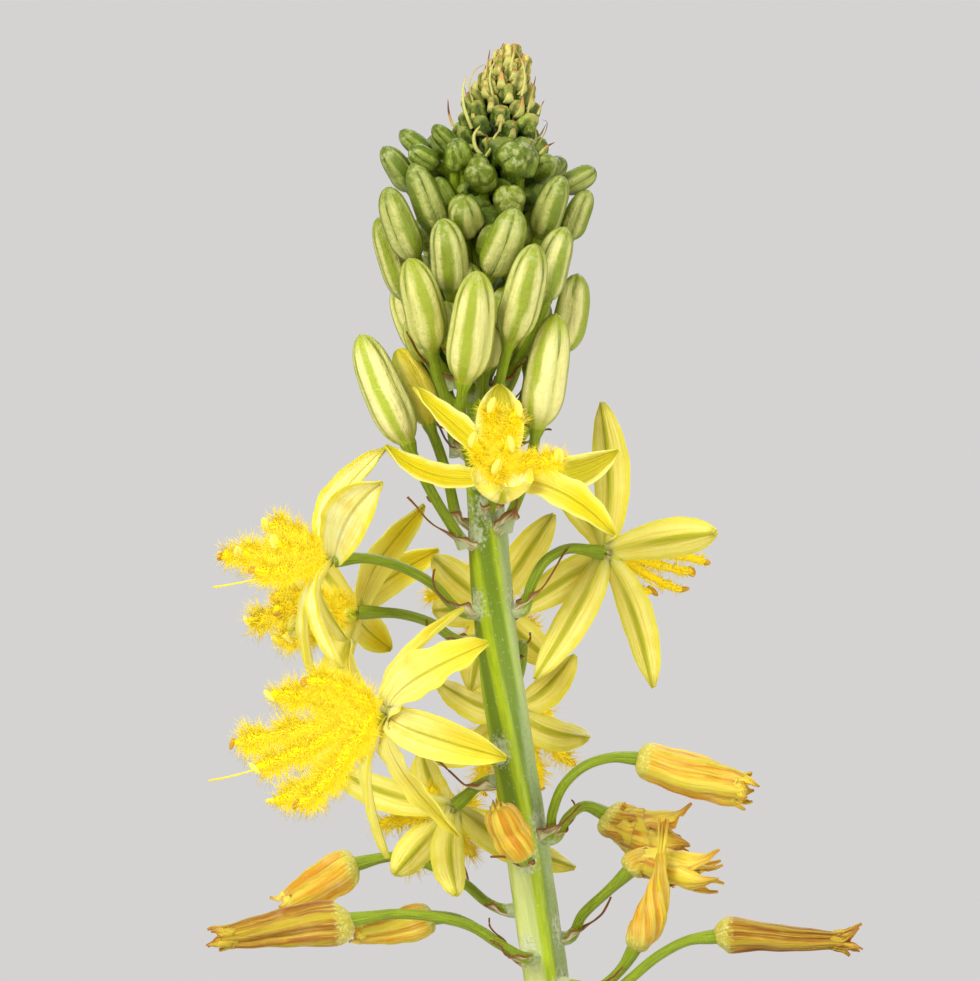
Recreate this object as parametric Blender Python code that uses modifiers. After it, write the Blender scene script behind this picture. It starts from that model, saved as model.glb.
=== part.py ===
"""A cut bulbine flower spike standing in a plain clear glass bottle of water.

The origin is the centre of the bottle's flat foot, +Z runs up the bottle and -Y is the front.
Lengths below are millimetres; MM turns them into Blender's metres.
"""

import math

import bmesh
import bpy
from mathutils import Vector

MM = 0.001
GAP = 0.3  # clearance between pieces that touch
MERGE = 0.00001

# Bottle and water
BOTTLE_HEIGHT = 68.0
BODY_RADIUS = 17.0
WALL = 2.0
FLOOR_THICKNESS = 4.0
FOOT_FILLET = 3.0
SHOULDER_LOW = 36.0
SHOULDER_HIGH = 51.0
NECK_OUTER = 8.6
NECK_BORE = 6.4
LIP_RADIUS = 10.0
LIP_HEIGHT = 4.5
WATER_LEVEL = 32.0
BOTTLE_SIDES = 24

# Scape: straight from the bottle's floor, past the neck's left side, to HEAD, and bowed above it
HEAD = Vector((-7.4, 0.0, 92.0))  # the lowest point of the raceme on the scape's centre line
SCAPE_FOOT_X = 3.1
SCAPE_FOOT_RADIUS = 1.55
# x and height above HEAD, and the radius
SCAPE_ROUTE = [
    (0.0, 0.0, 1.38),
    (-1.3, 9.0, 1.36),
    (-2.5, 17.6, 1.3),
    (-3.3, 23.8, 1.28),
    (-3.8, 30.1, 1.15),
    (-4.2, 36.3, 0.95),
    (-4.1, 42.6, 0.85),
    (-3.7, 48.8, 0.7),
    (-3.2, 50.6, 0.6),
]

# Raceme tip: x and height from HEAD, and radius, of its rings
TIP_RINGS = [
    (-3.1, 51.0, 0.8),
    (-3.0, 52.0, 1.6),
    (-2.8, 53.6, 1.9),
    (-2.6, 55.2, 1.7),
    (-2.5, 56.4, 1.2),
    (-2.3, 57.7, 0.95),
    (-2.1, 58.5, 0.35),
]

# Buds from the top of the raceme down: base and tip, measured from HEAD, and width
BUDS = [
    ((-5.3, -0.6, 51.7), (-7.0, -1.4, 53.4), 1.4),
    ((-7.1, -0.6, 51.2), (-9.1, -1.0, 52.9), 1.5),
    ((-6.1, -1.9, 50.8), (-8.0, -3.0, 52.0), 1.6),
    ((-5.5, -2.0, 50.0), (-5.6, -3.2, 52.1), 1.4),
    ((-4.1, -2.2, 50.1), (-4.2, -5.0, 50.3), 2.1),
    ((-2.2, -2.4, 50.1), (-2.1, -5.4, 50.5), 2.5),
    ((-2.4, -2.9, 48.8), (-2.4, -5.8, 49.0), 2.2),
    ((-1.1, -1.6, 50.3), (0.0, -3.4, 51.1), 1.9),
    ((0.0, 0.8, 50.1), (1.4, 1.2, 51.4), 1.6),
    ((0.5, 0.2, 49.4), (3.0, 0.2, 50.8), 1.7),
    ((1.4, -0.5, 46.4), (2.7, -0.8, 49.5), 1.8),
    ((-0.4, -2.3, 46.3), (1.0, -4.0, 50.1), 2.2),
    ((-3.4, -3.6, 44.5), (-1.8, -6.4, 48.5), 2.6),
    ((-4.8, -2.6, 47.0), (-5.3, -5.6, 49.0), 2.4),
    ((-5.9, -3.6, 43.0), (-6.4, -5.6, 47.5), 2.6),
    ((-6.7, -2.6, 46.4), (-8.4, -4.2, 50.8), 2.2),
    ((-6.2, 0.4, 49.8), (-8.9, 0.4, 51.5), 1.5),
    ((-8.3, -1.0, 49.4), (-10.1, -2.0, 52.1), 1.8),
    ((-7.8, -3.0, 45.0), (-9.6, -4.3, 49.5), 2.3),
    ((-8.6, -1.9, 42.5), (-10.4, -2.2, 47.7), 2.0),
    ((-6.8, -4.4, 39.5), (-8.2, -6.0, 45.2), 2.8),
    ((-7.4, 1.4, 39.0), (-9.4, 1.6, 43.6), 2.2),
    ((-5.1, -6.2, 37.3), (-4.2, -8.6, 44.1), 3.1),
    ((-2.4, -5.2, 39.9), (-0.8, -7.4, 45.9), 2.8),
    ((-0.1, -3.4, 42.4), (1.2, -4.2, 47.0), 2.5),
    ((1.0, 0.6, 39.3), (2.0, 0.6, 44.3), 2.4),
    ((-0.6, -4.0, 34.5), (0.6, -5.2, 41.6), 3.0),
    ((-8.5, -3.6, 33.5), (-11.5, -3.2, 40.4), 2.9),
    ((-7.2, 0.0, 34.8), (-9.2, 0.8, 39.6), 2.5),
    ((-2.8, 2.6, 44.5), (-2.8, 4.6, 48.1), 2.2),
    ((-1.7, 3.0, 40.8), (-0.9, 4.6, 45.6), 2.5),
]
BUD_PROFILE = [(0.0, 0.42), (0.1, 0.78), (0.32, 1.0), (0.62, 0.97), (0.86, 0.68), (1.0, 0.25)]
PEDICEL_RADIUS = 0.36
PEDICEL_GROWTH = 0.33  # pedicels lengthen down the raceme by this share of the depth below its tip
PEDICEL_DROP = (0.8, 6.2)  # the least and the most that a bud stands above its pedicel's foot

# Open flowers, measured from HEAD: centre, the way the flower faces, the pedicel's route from the
# scape, and the six tepal tips
FLOWERS = {
    "flower_1": (
        (-2.9, -7.4, 31.5),
        (0.05, -0.75, 0.65),
        [(-3.4, -2.0, 29.6), (-3.2, -4.5, 30.3)],
        [
            (-8.1, -5.8, 37.0),
            (-9.9, -6.6, 33.4),
            (-2.7, -5.6, 37.4),
            (4.4, -6.0, 33.1),
            (4.1, -9.6, 27.9),
            (-2.9, -12.4, 29.5),
        ],
    ),
    "flower_2": (
        (-13.2, -3.4, 26.4),
        (-0.93, -0.3, 0.2),
        [(-5.0, -0.9, 23.1), (-7.2, -2.4, 25.0), (-9.1, -3.0, 26.0), (-11.2, -3.4, 26.5)],
        [
            (-10.0, 0.6, 33.3),
            (-10.0, -9.4, 31.1),
            (-12.5, -7.0, 19.8),
            (-14.2, -1.0, 18.2),
            (-12.6, 3.8, 21.2),
            (-12.3, 4.2, 28.8),
        ],
    ),
    "flower_3": (
        (-11.7, 4.6, 23.0),
        (-0.5, 0.86, 0.1),
        [(-5.2, 1.2, 21.2), (-7.3, 2.6, 22.4), (-9.2, 3.8, 22.9)],
        [
            (-7.6, 2.4, 29.7),
            (-6.7, 8.0, 26.9),
            (-9.4, 10.4, 20.4),
            (-13.2, 3.0, 15.2),
            (-16.1, 1.0, 21.9),
            (-15.5, 3.0, 28.2),
        ],
    ),
    "flower_4": (
        (-9.9, -5.6, 16.9),
        (-0.82, -0.55, 0.1),
        [(-3.5, -1.9, 14.1), (-4.3, -2.6, 15.0), (-5.5, -3.4, 15.8), (-7.3, -4.5, 16.6)],
        [
            (-3.5, -8.4, 21.4),
            (-2.4, -9.4, 14.4),
            (-5.3, -5.2, 9.4),
            (-9.8, -4.0, 8.0),
            (-5.1, -2.6, 23.4),
            (-12.1, 0.4, 21.3),
        ],
    ),
    "flower_5": (
        (3.7, 0.4, 26.8),
        (0.35, 0.92, 0.15),
        [(-1.5, -0.3, 23.2), (-0.9, -0.4, 24.8), (0.0, -0.2, 26.3), (1.2, 0.1, 27.0)],
        [
            (3.5, -0.6, 36.2),
            (10.5, -4.4, 28.1),
            (6.7, -1.0, 18.4),
            (-0.7, -0.8, 18.9),
            (-2.0, 1.6, 23.0),
            (0.2, 2.0, 30.9),
        ],
    ),
    "flower_6": (
        (-3.3, 6.0, 23.4),
        (-0.1, 0.97, -0.1),
        [(-2.9, 1.8, 21.3), (-3.0, 3.6, 22.2)],
        [
            (0.6, 4.6, 29.2),
            (-7.1, 4.0, 26.5),
            (-7.4, 5.4, 22.9),
            (-4.7, 5.0, 18.0),
            (0.7, 5.6, 19.6),
            (-3.3, 5.2, 30.1),
        ],
    ),
    "flower_7": (
        (-2.3, 7.2, 16.8),
        (0.15, 0.85, -0.5),
        [(-2.2, 1.8, 20.0), (-1.5, 3.4, 21.0), (-1.5, 5.2, 19.6)],
        [
            (2.8, 4.8, 15.0),
            (-7.0, 5.0, 18.6),
            (-6.9, 6.0, 13.4),
            (-2.2, 7.4, 9.2),
            (2.0, 8.6, 20.2),
            (-5.2, 9.2, 19.8),
        ],
    ),
    "flower_8": (
        (-5.7, 1.2, 10.9),
        (-0.3, 0.88, -0.35),
        [(-3.5, 0.3, 12.5), (-4.2, 0.5, 12.2), (-4.9, 0.9, 11.6)],
        [
            (-13.5, 0.4, 13.3),
            (-5.6, -3.4, 5.6),
            (1.9, 1.4, 7.0),
            (-7.8, 4.0, 14.6),
            (-1.2, 4.4, 9.4),
            (-9.6, 1.0, 6.2),
        ],
    ),
}
TEPAL_WIDTH = 2.3
TEPAL_THICKNESS = 0.4
TEPAL_BOW = 0.9  # how far a tepal arches towards the way its flower faces
TEPAL_START = 0.3
TEPAL_ROWS = 5
RECEPTACLE_RADIUS = 0.85
OVARY_RADIUS = 0.75
FILAMENTS = 6
FILAMENT_SPREAD = math.radians(34)
FILAMENT_LENGTH = 5.8
FILAMENT_PROFILE = [(0.0, 0.3), (0.3, 0.6), (0.7, 0.85), (0.9, 0.7), (1.0, 0.3)]
STYLE_LENGTH = 7.0
STYLE_RADIUS = 0.25

# Faded flowers, measured from HEAD: the pedicel's route from the scape, then the withered tube's
# points with their radii
FADED = {
    "faded_1": (
        [(0.1, -0.7, 9.1), (0.4, -1.4, 10.6), (1.0, -1.8, 12.2), (2.3, -2.0, 13.5)],
        [(4.1, -2.0, 14.1, 0.4), (5.6, -2.0, 14.1, 0.6), (6.3, -2.0, 13.9, 1.1)]
        + [(7.8, -2.0, 13.4, 1.3), (9.9, -2.0, 12.8, 1.4), (11.8, -2.0, 12.2, 1.2)]
        + [(12.7, -2.0, 12.0, 0.9), (13.1, -2.0, 11.9, 0.5)],
    ),
    "faded_2": (
        [(0.6, 1.2, 8.9), (1.4, 2.2, 10.1), (2.5, 3.0, 10.8)],
        [(3.7, 3.2, 10.4, 0.6), (4.2, 3.2, 10.0, 1.0), (5.4, 3.2, 9.4, 1.4)]
        + [(6.9, 3.2, 8.6, 1.4), (8.5, 3.2, 8.1, 0.9), (9.1, 3.2, 8.0, 0.4)],
    ),
    "faded_3": (
        [(1.4, 0.2, 2.7), (2.3, -0.6, 4.2), (3.7, -1.4, 5.6)],
        [(5.1, -1.6, 6.9, 0.6), (5.7, -1.6, 7.5, 0.9), (6.7, -1.6, 7.5, 1.1)]
        + [(8.0, -1.6, 7.2, 1.0), (9.6, -1.6, 6.9, 0.6), (10.3, -1.6, 6.9, 0.2)],
    ),
    "faded_4": (
        [(1.8, -1.6, -0.1), (3.1, -2.6, -0.2), (4.7, -3.2, 1.1)],
        [(5.4, -3.4, 2.2, 0.6), (5.8, -3.4, 3.0, 0.9), (6.6, -3.4, 4.6, 1.0)]
        + [(6.9, -3.4, 5.9, 0.8), (7.1, -3.4, 7.3, 0.4), (7.2, -3.4, 8.9, 0.3)],
    ),
    "faded_5": (
        [(1.8, -1.6, -2.6), (3.3, -3.6, -1.2), (5.2, -4.8, 0.6), (7.0, -5.2, 2.1)],
        [(8.8, -5.2, 3.0, 0.4), (10.3, -5.2, 3.2, 0.6), (10.8, -5.2, 3.3, 1.0)]
        + [(12.5, -5.2, 3.3, 1.0), (15.0, -5.2, 3.1, 0.9), (17.5, -5.2, 3.0, 0.8)]
        + [(19.0, -5.2, 2.9, 0.7), (19.5, -5.2, 2.8, 0.3)],
    ),
    "faded_6": (
        [(-1.1, -1.8, 1.6), (-2.9, -3.2, 2.6), (-4.7, -4.2, 3.8), (-6.9, -4.8, 4.4)],
        [(-9.3, -5.0, 4.6, 0.4), (-11.9, -5.0, 4.3, 0.6), (-12.4, -5.0, 4.1, 1.2)]
        + [(-14.3, -5.0, 3.9, 1.4), (-17.0, -5.0, 3.6, 1.4), (-19.5, -5.0, 3.2, 1.1)]
        + [(-20.6, -5.0, 3.0, 0.8), (-21.0, -5.0, 2.9, 0.3)],
    ),
    "faded_7": (
        [(-2.5, 0.9, 4.4), (-3.6, 1.6, 4.8), (-5.0, 2.4, 5.9), (-7.3, 2.8, 7.1)],
        [(-9.5, 3.0, 7.6, 0.4), (-11.8, 3.0, 7.2, 0.6), (-12.3, 3.0, 7.0, 1.1)]
        + [(-13.6, 3.0, 6.3, 1.4), (-15.1, 3.0, 5.3, 1.2), (-16.4, 3.0, 4.6, 0.8)]
        + [(-17.0, 3.0, 4.3, 0.3)],
    ),
    "faded_8": (
        [(-0.9, 1.9, 0.9), (-2.5, 3.8, 1.8), (-4.1, 5.2, 2.8), (-5.7, 5.8, 3.5)],
        [(-7.0, 6.0, 3.6, 0.6), (-7.6, 6.0, 3.4, 1.1), (-9.2, 6.0, 2.9, 1.1)]
        + [(-11.1, 6.0, 2.7, 0.9), (-12.2, 6.0, 2.6, 0.6), (-12.6, 6.0, 2.5, 0.2)],
    ),
    "faded_9": (
        [(-1.2, -2.1, 7.8), (-1.4, -3.2, 7.7)],
        [(-1.6, -4.4, 8.1, 0.6), (-1.8, -4.8, 8.7, 1.1), (-2.4, -5.2, 9.9, 1.2)]
        + [(-2.9, -5.6, 10.9, 1.0), (-3.2, -5.8, 11.6, 0.5)],
    ),
}

# Colour (red, green, blue), roughness and how much light passes through
COLOURS = {
    "glass": ((0.92, 0.97, 0.96), 0.02, 1.0),
    "water": ((0.97, 0.99, 1.0), 0.0, 1.0),
    "stem_green": ((0.24, 0.38, 0.05), 0.45, 0.0),
    "tip_cream": ((0.62, 0.58, 0.3), 0.6, 0.0),
    "bud_green": ((0.7, 0.75, 0.3), 0.4, 0.0),
    "tepal_yellow": ((0.9, 0.75, 0.08), 0.45, 0.0),
    "stamen_yellow": ((0.95, 0.66, 0.03), 0.7, 0.0),
    "faded_orange": ((0.75, 0.42, 0.05), 0.6, 0.0),
}


def clear_scene():
    """Start from an empty file."""
    for thing in list(bpy.data.objects):
        bpy.data.objects.remove(thing, do_unlink=True)


def make_collection(name, parent):
    """A new collection inside another."""
    made = bpy.data.collections.new(name)
    parent.children.link(made)
    return made


def make_materials():
    """One Principled material for each finish."""
    made = {}
    for name, (colour, roughness, clear) in COLOURS.items():
        material = bpy.data.materials.new(name)
        material.use_nodes = True
        shader = material.node_tree.nodes["Principled BSDF"]
        shader.inputs["Base Color"].default_value = (*colour, 1.0)
        shader.inputs["Roughness"].default_value = roughness
        shader.inputs["Metallic"].default_value = 0.0
        shader.inputs["Transmission Weight"].default_value = clear
        made[name] = material
    return made


def add_object(name, mesh, material, collection):
    """An object for a mesh, with its material, linked to a collection."""
    made = bpy.data.objects.new(name, mesh)
    mesh.materials.clear()
    mesh.materials.append(material)
    mesh.shade_smooth()
    mesh.set_sharp_from_angle(angle=math.radians(50))
    collection.objects.link(made)
    return made


def make_cutter(thing):
    """Mark a helper object, which the part itself leaves out."""
    thing.hide_render = True
    thing.display_type = "WIRE"


def turned(name, profile, material, collection):
    """A body of revolution: the profile (radius, height) ends on the axis at both ends."""
    mesh = bpy.data.meshes.new(name)
    points = [(radius * MM, 0.0, height * MM) for radius, height in profile]
    edges = [(i, i + 1) for i in range(len(points) - 1)]
    mesh.from_pydata(points, edges, [])
    made = add_object(name, mesh, material, collection)
    screw = made.modifiers.new("turn", "SCREW")
    screw.angle = 2 * math.pi
    screw.steps = screw.render_steps = BOTTLE_SIDES
    screw.use_merge_vertices = True
    screw.merge_threshold = MERGE
    screw.use_smooth_shade = True
    return made


def round_corner(centre, radius, start, end, steps=3):
    """Points of an arc in the profile plane, with its angles in degrees."""
    arc = []
    for i in range(steps + 1):
        angle = math.radians(start + (end - start) * i / steps)
        arc.append((centre[0] + radius * math.cos(angle), centre[1] + radius * math.sin(angle)))
    return arc


def shoulder(inner, outer, low, high, steps=4):
    """Points of the S-shaped run from a neck's radius at the top to the body's radius."""
    run = []
    for i in range(steps + 1):
        share = i / steps
        swell = (1 - math.cos(math.pi * share)) / 2
        run.append((inner + (outer - inner) * swell, high + (low - high) * share))
    return run


def inner_wall(clearance, top):
    """The bottle's inside from its floor's centre out and up to a height, with some clearance."""
    radius = BODY_RADIUS - WALL
    floor = FLOOR_THICKNESS + clearance
    corner = (radius - FOOT_FILLET, FLOOR_THICKNESS + FOOT_FILLET)
    return (
        [(0.0, floor)]
        + round_corner(corner, FOOT_FILLET - clearance, -90, 0)
        + [(radius - clearance, top)]
    )


def build_bottle(materials, collection):
    """The clear bottle: round body, S-shaped shoulder, neck and rolled lip."""
    inside = inner_wall(0.0, SHOULDER_LOW)[:-1]
    inside += reversed(shoulder(NECK_BORE, BODY_RADIUS - WALL, SHOULDER_LOW, SHOULDER_HIGH))
    lip_low = BOTTLE_HEIGHT - LIP_HEIGHT
    middle = (NECK_BORE + LIP_RADIUS) / 2
    bead = (LIP_RADIUS - NECK_BORE) / 2
    lip = round_corner((middle, BOTTLE_HEIGHT - bead), bead, 180, 0, 6)
    outside = [(LIP_RADIUS, lip_low + 1.0), (NECK_OUTER, lip_low)]
    outside += shoulder(NECK_OUTER, BODY_RADIUS, SHOULDER_LOW, SHOULDER_HIGH)
    corner = (BODY_RADIUS - FOOT_FILLET, FOOT_FILLET)
    outside += round_corner(corner, FOOT_FILLET, 0, -90) + [(0.0, 0.0)]
    return turned("glass_bottle", inside + lip + outside, materials["glass"], collection)


def scape_at(height):
    """The scape's centre and radius at a height."""
    stations = [(SCAPE_FOOT_X, FLOOR_THICKNESS, SCAPE_FOOT_RADIUS)]
    stations += [(HEAD.x + x, HEAD.z + rise, radius) for x, rise, radius in SCAPE_ROUTE]
    for (x0, z0, r0), (x1, z1, r1) in zip(stations, stations[1:]):
        if height <= z1:
            share = (height - z0) / (z1 - z0)
            return Vector((x0 + (x1 - x0) * share, 0.0, height)), r0 + (r1 - r0) * share
    return Vector((stations[-1][0], 0.0, height)), stations[-1][2]


def curve_tube(name, points, radii, sides):
    """A curve object with a radius at each point, which is a closed tube with filled caps."""
    curve = bpy.data.curves.new(name, "CURVE")
    curve.dimensions = "3D"
    curve.bevel_depth = MM
    curve.bevel_resolution = (sides - 4) // 2
    curve.use_fill_caps = True
    spline = curve.splines.new("POLY")
    spline.points.add(len(points) - 1)
    for spot, point, radius in zip(spline.points, points, radii):
        spot.co = (*(Vector(point) * MM), 1.0)
        spot.radius = radius
    return bpy.data.objects.new(name, curve)


def tube(name, points, radii, sides, material, collection):
    """A tube kept as a welded mesh."""
    thing = curve_tube(name + "_route", points, radii, sides)
    collection.objects.link(thing)
    graph = bpy.context.evaluated_depsgraph_get()
    mesh = bpy.data.meshes.new_from_object(thing.evaluated_get(graph))
    curve = thing.data
    bpy.data.objects.remove(thing)
    bpy.data.curves.remove(curve)
    work = bmesh.new()
    work.from_mesh(mesh)
    bmesh.ops.remove_doubles(work, verts=work.verts, dist=MERGE)
    work.to_mesh(mesh)
    work.free()
    mesh.name = name
    return add_object(name, mesh, material, collection)


def unite(body, pieces, helpers):
    """Join pieces to a body with one Boolean union."""
    group = make_collection(body.name + "_pieces", helpers)
    for piece in pieces:
        for old in piece.users_collection:
            old.objects.unlink(piece)
        group.objects.link(piece)
        make_cutter(piece)
    join = body.modifiers.new("join", "BOOLEAN")
    join.operation = "UNION"
    join.operand_type = "COLLECTION"
    join.collection = group
    join.solver = "EXACT"


def build_scape(materials, collection):
    """The leafless stem, straight through the neck and bowed in the raceme."""
    foot_height = FLOOR_THICKNESS + 2 * GAP
    heights = [foot_height + (HEAD.z - foot_height) * share for share in (0.0, 0.33, 0.66)]
    heights += [HEAD.z + rise for x, rise, radius in SCAPE_ROUTE]
    spots = [scape_at(height) for height in heights]
    points = [spot[0] for spot in spots]
    radii = [spot[1] for spot in spots]
    return tube("scape", points, radii, 10, materials["stem_green"], collection)


def build_water(materials, collection, helpers):
    """The water, with a passage round the stem."""
    profile = list(reversed(inner_wall(GAP, WATER_LEVEL)))
    body = turned("water", [(0.0, WATER_LEVEL)] + profile, materials["water"], collection)
    low, high = scape_at(FLOOR_THICKNESS - 2.0), scape_at(WATER_LEVEL + 2.0)
    radius = SCAPE_FOOT_RADIUS + GAP
    passage = tube(
        "stem_passage", [low[0], high[0]], [radius, radius], 10, materials["water"], helpers
    )
    make_cutter(passage)
    cut = body.modifiers.new("passage", "BOOLEAN")
    cut.operation = "DIFFERENCE"
    cut.object = passage
    cut.solver = "EXACT"
    return body


def build_tip(materials, collection):
    """The cone of unopened bracts that ends the raceme."""
    points = [HEAD + Vector((x, 0.0, rise)) for x, rise, radius in TIP_RINGS]
    radii = [radius for x, rise, radius in TIP_RINGS]
    return tube("raceme_tip", points, radii, 10, materials["tip_cream"], collection)


def bud_spheres(base, tip, width):
    """Four spheres that fill a bud, for telling how near its neighbours are."""
    sizes = ((0.12, 0.75), (0.37, 1.0), (0.63, 0.97), (0.88, 0.62))
    return [(base.lerp(tip, share), width / 2 * size) for share, size in sizes]


def jostle(buds, rounds=90):
    """Push crowded buds apart, mostly in depth, until each pair has its clearance."""
    placed = [(HEAD + Vector(base), HEAD + Vector(tip), width) for base, tip, width in buds]
    depth_first = Vector((0.3, 1.0, 0.3))
    for _ in range(rounds):
        shifts = [Vector() for _ in placed]
        for i, first in enumerate(placed):
            for j in range(i):
                push = crowding(bud_spheres(*first), bud_spheres(*placed[j]))
                shifts[i] += push * depth_first / 2
                shifts[j] -= push * depth_first / 2
            for spot, radius in bud_spheres(*first):
                centre, stem = scape_at(spot.z)
                away = spot - centre
                lack = radius + stem + GAP - away.length
                if lack > 0:
                    shifts[i] += away.normalized() * lack / 2
        placed = [(b + shift, t + shift, w) for (b, t, w), shift in zip(placed, shifts)]
    return placed


def crowding(first, second):
    """The push on the first of two sets of spheres that would clear their deepest overlap."""
    worst, push = 0.0, Vector()
    for spot, radius in first:
        for other, other_radius in second:
            away = spot - other
            lack = radius + other_radius + GAP - away.length
            if lack > worst:
                worst, push = lack, away.normalized() * lack
    return push


def bud_route(base, tip, width):
    """A bud with its pedicel as one run of points and radii, from the scape outwards."""
    tip_height = HEAD.z + TIP_RINGS[-1][1]
    drop = (tip_height - base.z) * PEDICEL_GROWTH
    drop = min(max(drop, PEDICEL_DROP[0]), PEDICEL_DROP[1])
    centre, stem = scape_at(base.z - drop)
    outward = (base - centre) * Vector((1.0, 1.0, 0.0))
    foot = centre + outward.normalized() * (stem + GAP + PEDICEL_RADIUS)
    along = (tip - base).normalized()
    bend = base - along * drop * 0.45
    points = [foot, foot.lerp(bend, 0.6).lerp(bend.lerp(base, 0.25), 0.5), bend.lerp(base, 0.6)]
    radii = [PEDICEL_RADIUS] * len(points)
    for share, size in BUD_PROFILE:
        points.append(base.lerp(tip, share))
        radii.append(width / 2 * size)
    return points, radii


def build_buds(materials, collection):
    """Every closed bud on its pedicel."""
    for number, bud in enumerate(jostle(BUDS), start=1):
        points, radii = bud_route(*bud)
        tube(f"bud_{number:02d}", points, radii, 6, materials["bud_green"], collection)


def tepal(name, centre, facing, tip, material, collection):
    """One strap-shaped tepal that arches from the flower's centre to its tip."""
    reach = tip - centre
    start = centre + reach.normalized() * TEPAL_START
    crest = centre + reach * 0.5 + facing * TEPAL_BOW * 2
    work = bmesh.new()
    bmesh.ops.create_grid(work, x_segments=2, y_segments=TEPAL_ROWS, size=1.0)
    side = reach.cross(facing).normalized()
    for vertex in work.verts:
        across, share = vertex.co.x, (vertex.co.y + 1) / 2
        middle = start.lerp(crest, share).lerp(crest.lerp(tip, share), share)
        half = TEPAL_WIDTH / 2 * (0.3 + 0.7 * math.sin(math.pi * (0.1 + 0.82 * share)))
        channel = facing * abs(across) * half * 0.25
        vertex.co = (middle + side * across * half + channel) * MM
    mesh = bpy.data.meshes.new(name)
    work.to_mesh(mesh)
    work.free()
    made = add_object(name, mesh, material, collection)
    shell = made.modifiers.new("thickness", "SOLIDIFY")
    shell.thickness = TEPAL_THICKNESS * MM
    shell.offset = 0.0
    return made


def build_flower(name, materials, collection, helpers):
    """One open flower's pedicel, and the six tepals to join to it at the receptacle."""
    centre, facing, pedicel, tips = FLOWERS[name]
    centre, facing = HEAD + Vector(centre), Vector(facing).normalized()
    points = [HEAD + Vector(point) for point in pedicel]
    points += [centre - facing * 0.3, centre + facing * 0.5]
    radii = [PEDICEL_RADIUS] * len(pedicel) + [RECEPTACLE_RADIUS, RECEPTACLE_RADIUS * 0.7]
    body = tube(name, points, radii, 8, materials["tepal_yellow"], collection)
    tepals = []
    for number, tip in enumerate(tips, start=1):
        label = f"{name}_tepal_{number}"
        end = HEAD + Vector(tip)
        tepals.append(tepal(label, centre, facing, end, materials["tepal_yellow"], helpers))
    return body, tepals


def build_stamens(name, materials, collection, helpers):
    """The ovary and style on the receptacle, and the six bearded stamens to join to them."""
    centre, facing, pedicel, tips = FLOWERS[name]
    facing = Vector(facing).normalized()
    seat = HEAD + Vector(centre) + facing * (0.5 + GAP + OVARY_RADIUS)
    root = seat - facing * OVARY_RADIUS * 0.4
    rise = facing.orthogonal().normalized()
    turn = facing.cross(rise)
    material = materials["stamen_yellow"]
    filaments = []
    for number in range(FILAMENTS):
        clock = 2 * math.pi * number / FILAMENTS
        outward = rise * math.cos(clock) + turn * math.sin(clock)
        along = facing * math.cos(FILAMENT_SPREAD) + outward * math.sin(FILAMENT_SPREAD)
        points = [root + along * FILAMENT_LENGTH * share for share, size in FILAMENT_PROFILE]
        radii = [size for share, size in FILAMENT_PROFILE]
        filaments.append(tube(f"{name}_filament_{number}", points, radii, 6, material, helpers))
    ovary = [seat + facing * OVARY_RADIUS * step for step in (-1.0, -0.5, 0.5, 1.0)]
    style = ovary + [seat + facing * STYLE_LENGTH]
    sizes = [OVARY_RADIUS * 0.5, OVARY_RADIUS, OVARY_RADIUS, STYLE_RADIUS, STYLE_RADIUS]
    body = tube(name + "_stamens", style, sizes, 6, material, collection)
    return body, filaments


def build_faded(name, materials, collection):
    """One withered flower on its pedicel."""
    pedicel, withered = FADED[name]
    points = [HEAD + Vector(point) for point in pedicel]
    points += [HEAD + Vector(ring[:3]) for ring in withered]
    radii = [PEDICEL_RADIUS] * len(pedicel) + [ring[3] for ring in withered]
    tube(name, points, radii, 6, materials["faded_orange"], collection)


def main():
    """Build the flower spike in its bottle."""
    clear_scene()
    root = bpy.context.scene.collection
    part = make_collection("bulbine_in_bottle", root)
    helpers = make_collection("helpers", root)
    materials = make_materials()
    build_bottle(materials, part)
    build_water(materials, part, helpers)
    build_scape(materials, part)
    build_tip(materials, part)
    build_buds(materials, part)
    for name in FADED:
        build_faded(name, materials, part)
    blossoms = []
    for name in FLOWERS:
        blossoms.append(build_flower(name, materials, part, helpers))
        blossoms.append(build_stamens(name, materials, part, helpers))
    for body, pieces in blossoms:
        unite(body, pieces, helpers)


main()
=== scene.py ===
# %% [markdown]
# # A bulbine spike in a bottle
#
# Bulbine carries its flowers on one leafless stem. The youngest buds crowd at the top, the open
# yellow flowers stand below them, and the withered ones hang lowest. This lesson dresses a plain
# solid model of such a spike: every piece is grown again, finely, on the solids that are already
# in place, so each stalk, bud and petal starts where its solid says.

import math

import bmesh
import bpy
import numpy as np
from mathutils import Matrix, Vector


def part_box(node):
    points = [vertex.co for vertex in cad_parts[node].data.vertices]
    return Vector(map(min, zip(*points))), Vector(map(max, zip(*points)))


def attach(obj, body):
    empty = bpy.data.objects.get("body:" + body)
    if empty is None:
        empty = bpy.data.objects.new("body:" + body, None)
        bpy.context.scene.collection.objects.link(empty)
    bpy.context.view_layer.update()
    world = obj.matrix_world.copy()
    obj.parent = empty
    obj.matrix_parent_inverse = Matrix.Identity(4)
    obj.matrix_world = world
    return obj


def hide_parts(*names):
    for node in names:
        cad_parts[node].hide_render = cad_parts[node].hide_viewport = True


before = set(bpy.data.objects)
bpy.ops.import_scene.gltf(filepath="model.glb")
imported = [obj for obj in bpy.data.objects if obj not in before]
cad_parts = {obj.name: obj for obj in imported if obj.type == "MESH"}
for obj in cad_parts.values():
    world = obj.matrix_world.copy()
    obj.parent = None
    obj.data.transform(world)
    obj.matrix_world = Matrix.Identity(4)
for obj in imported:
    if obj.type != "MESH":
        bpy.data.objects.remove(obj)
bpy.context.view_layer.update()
MM = 0.001
UP = Vector((0, 0, 1))

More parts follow.
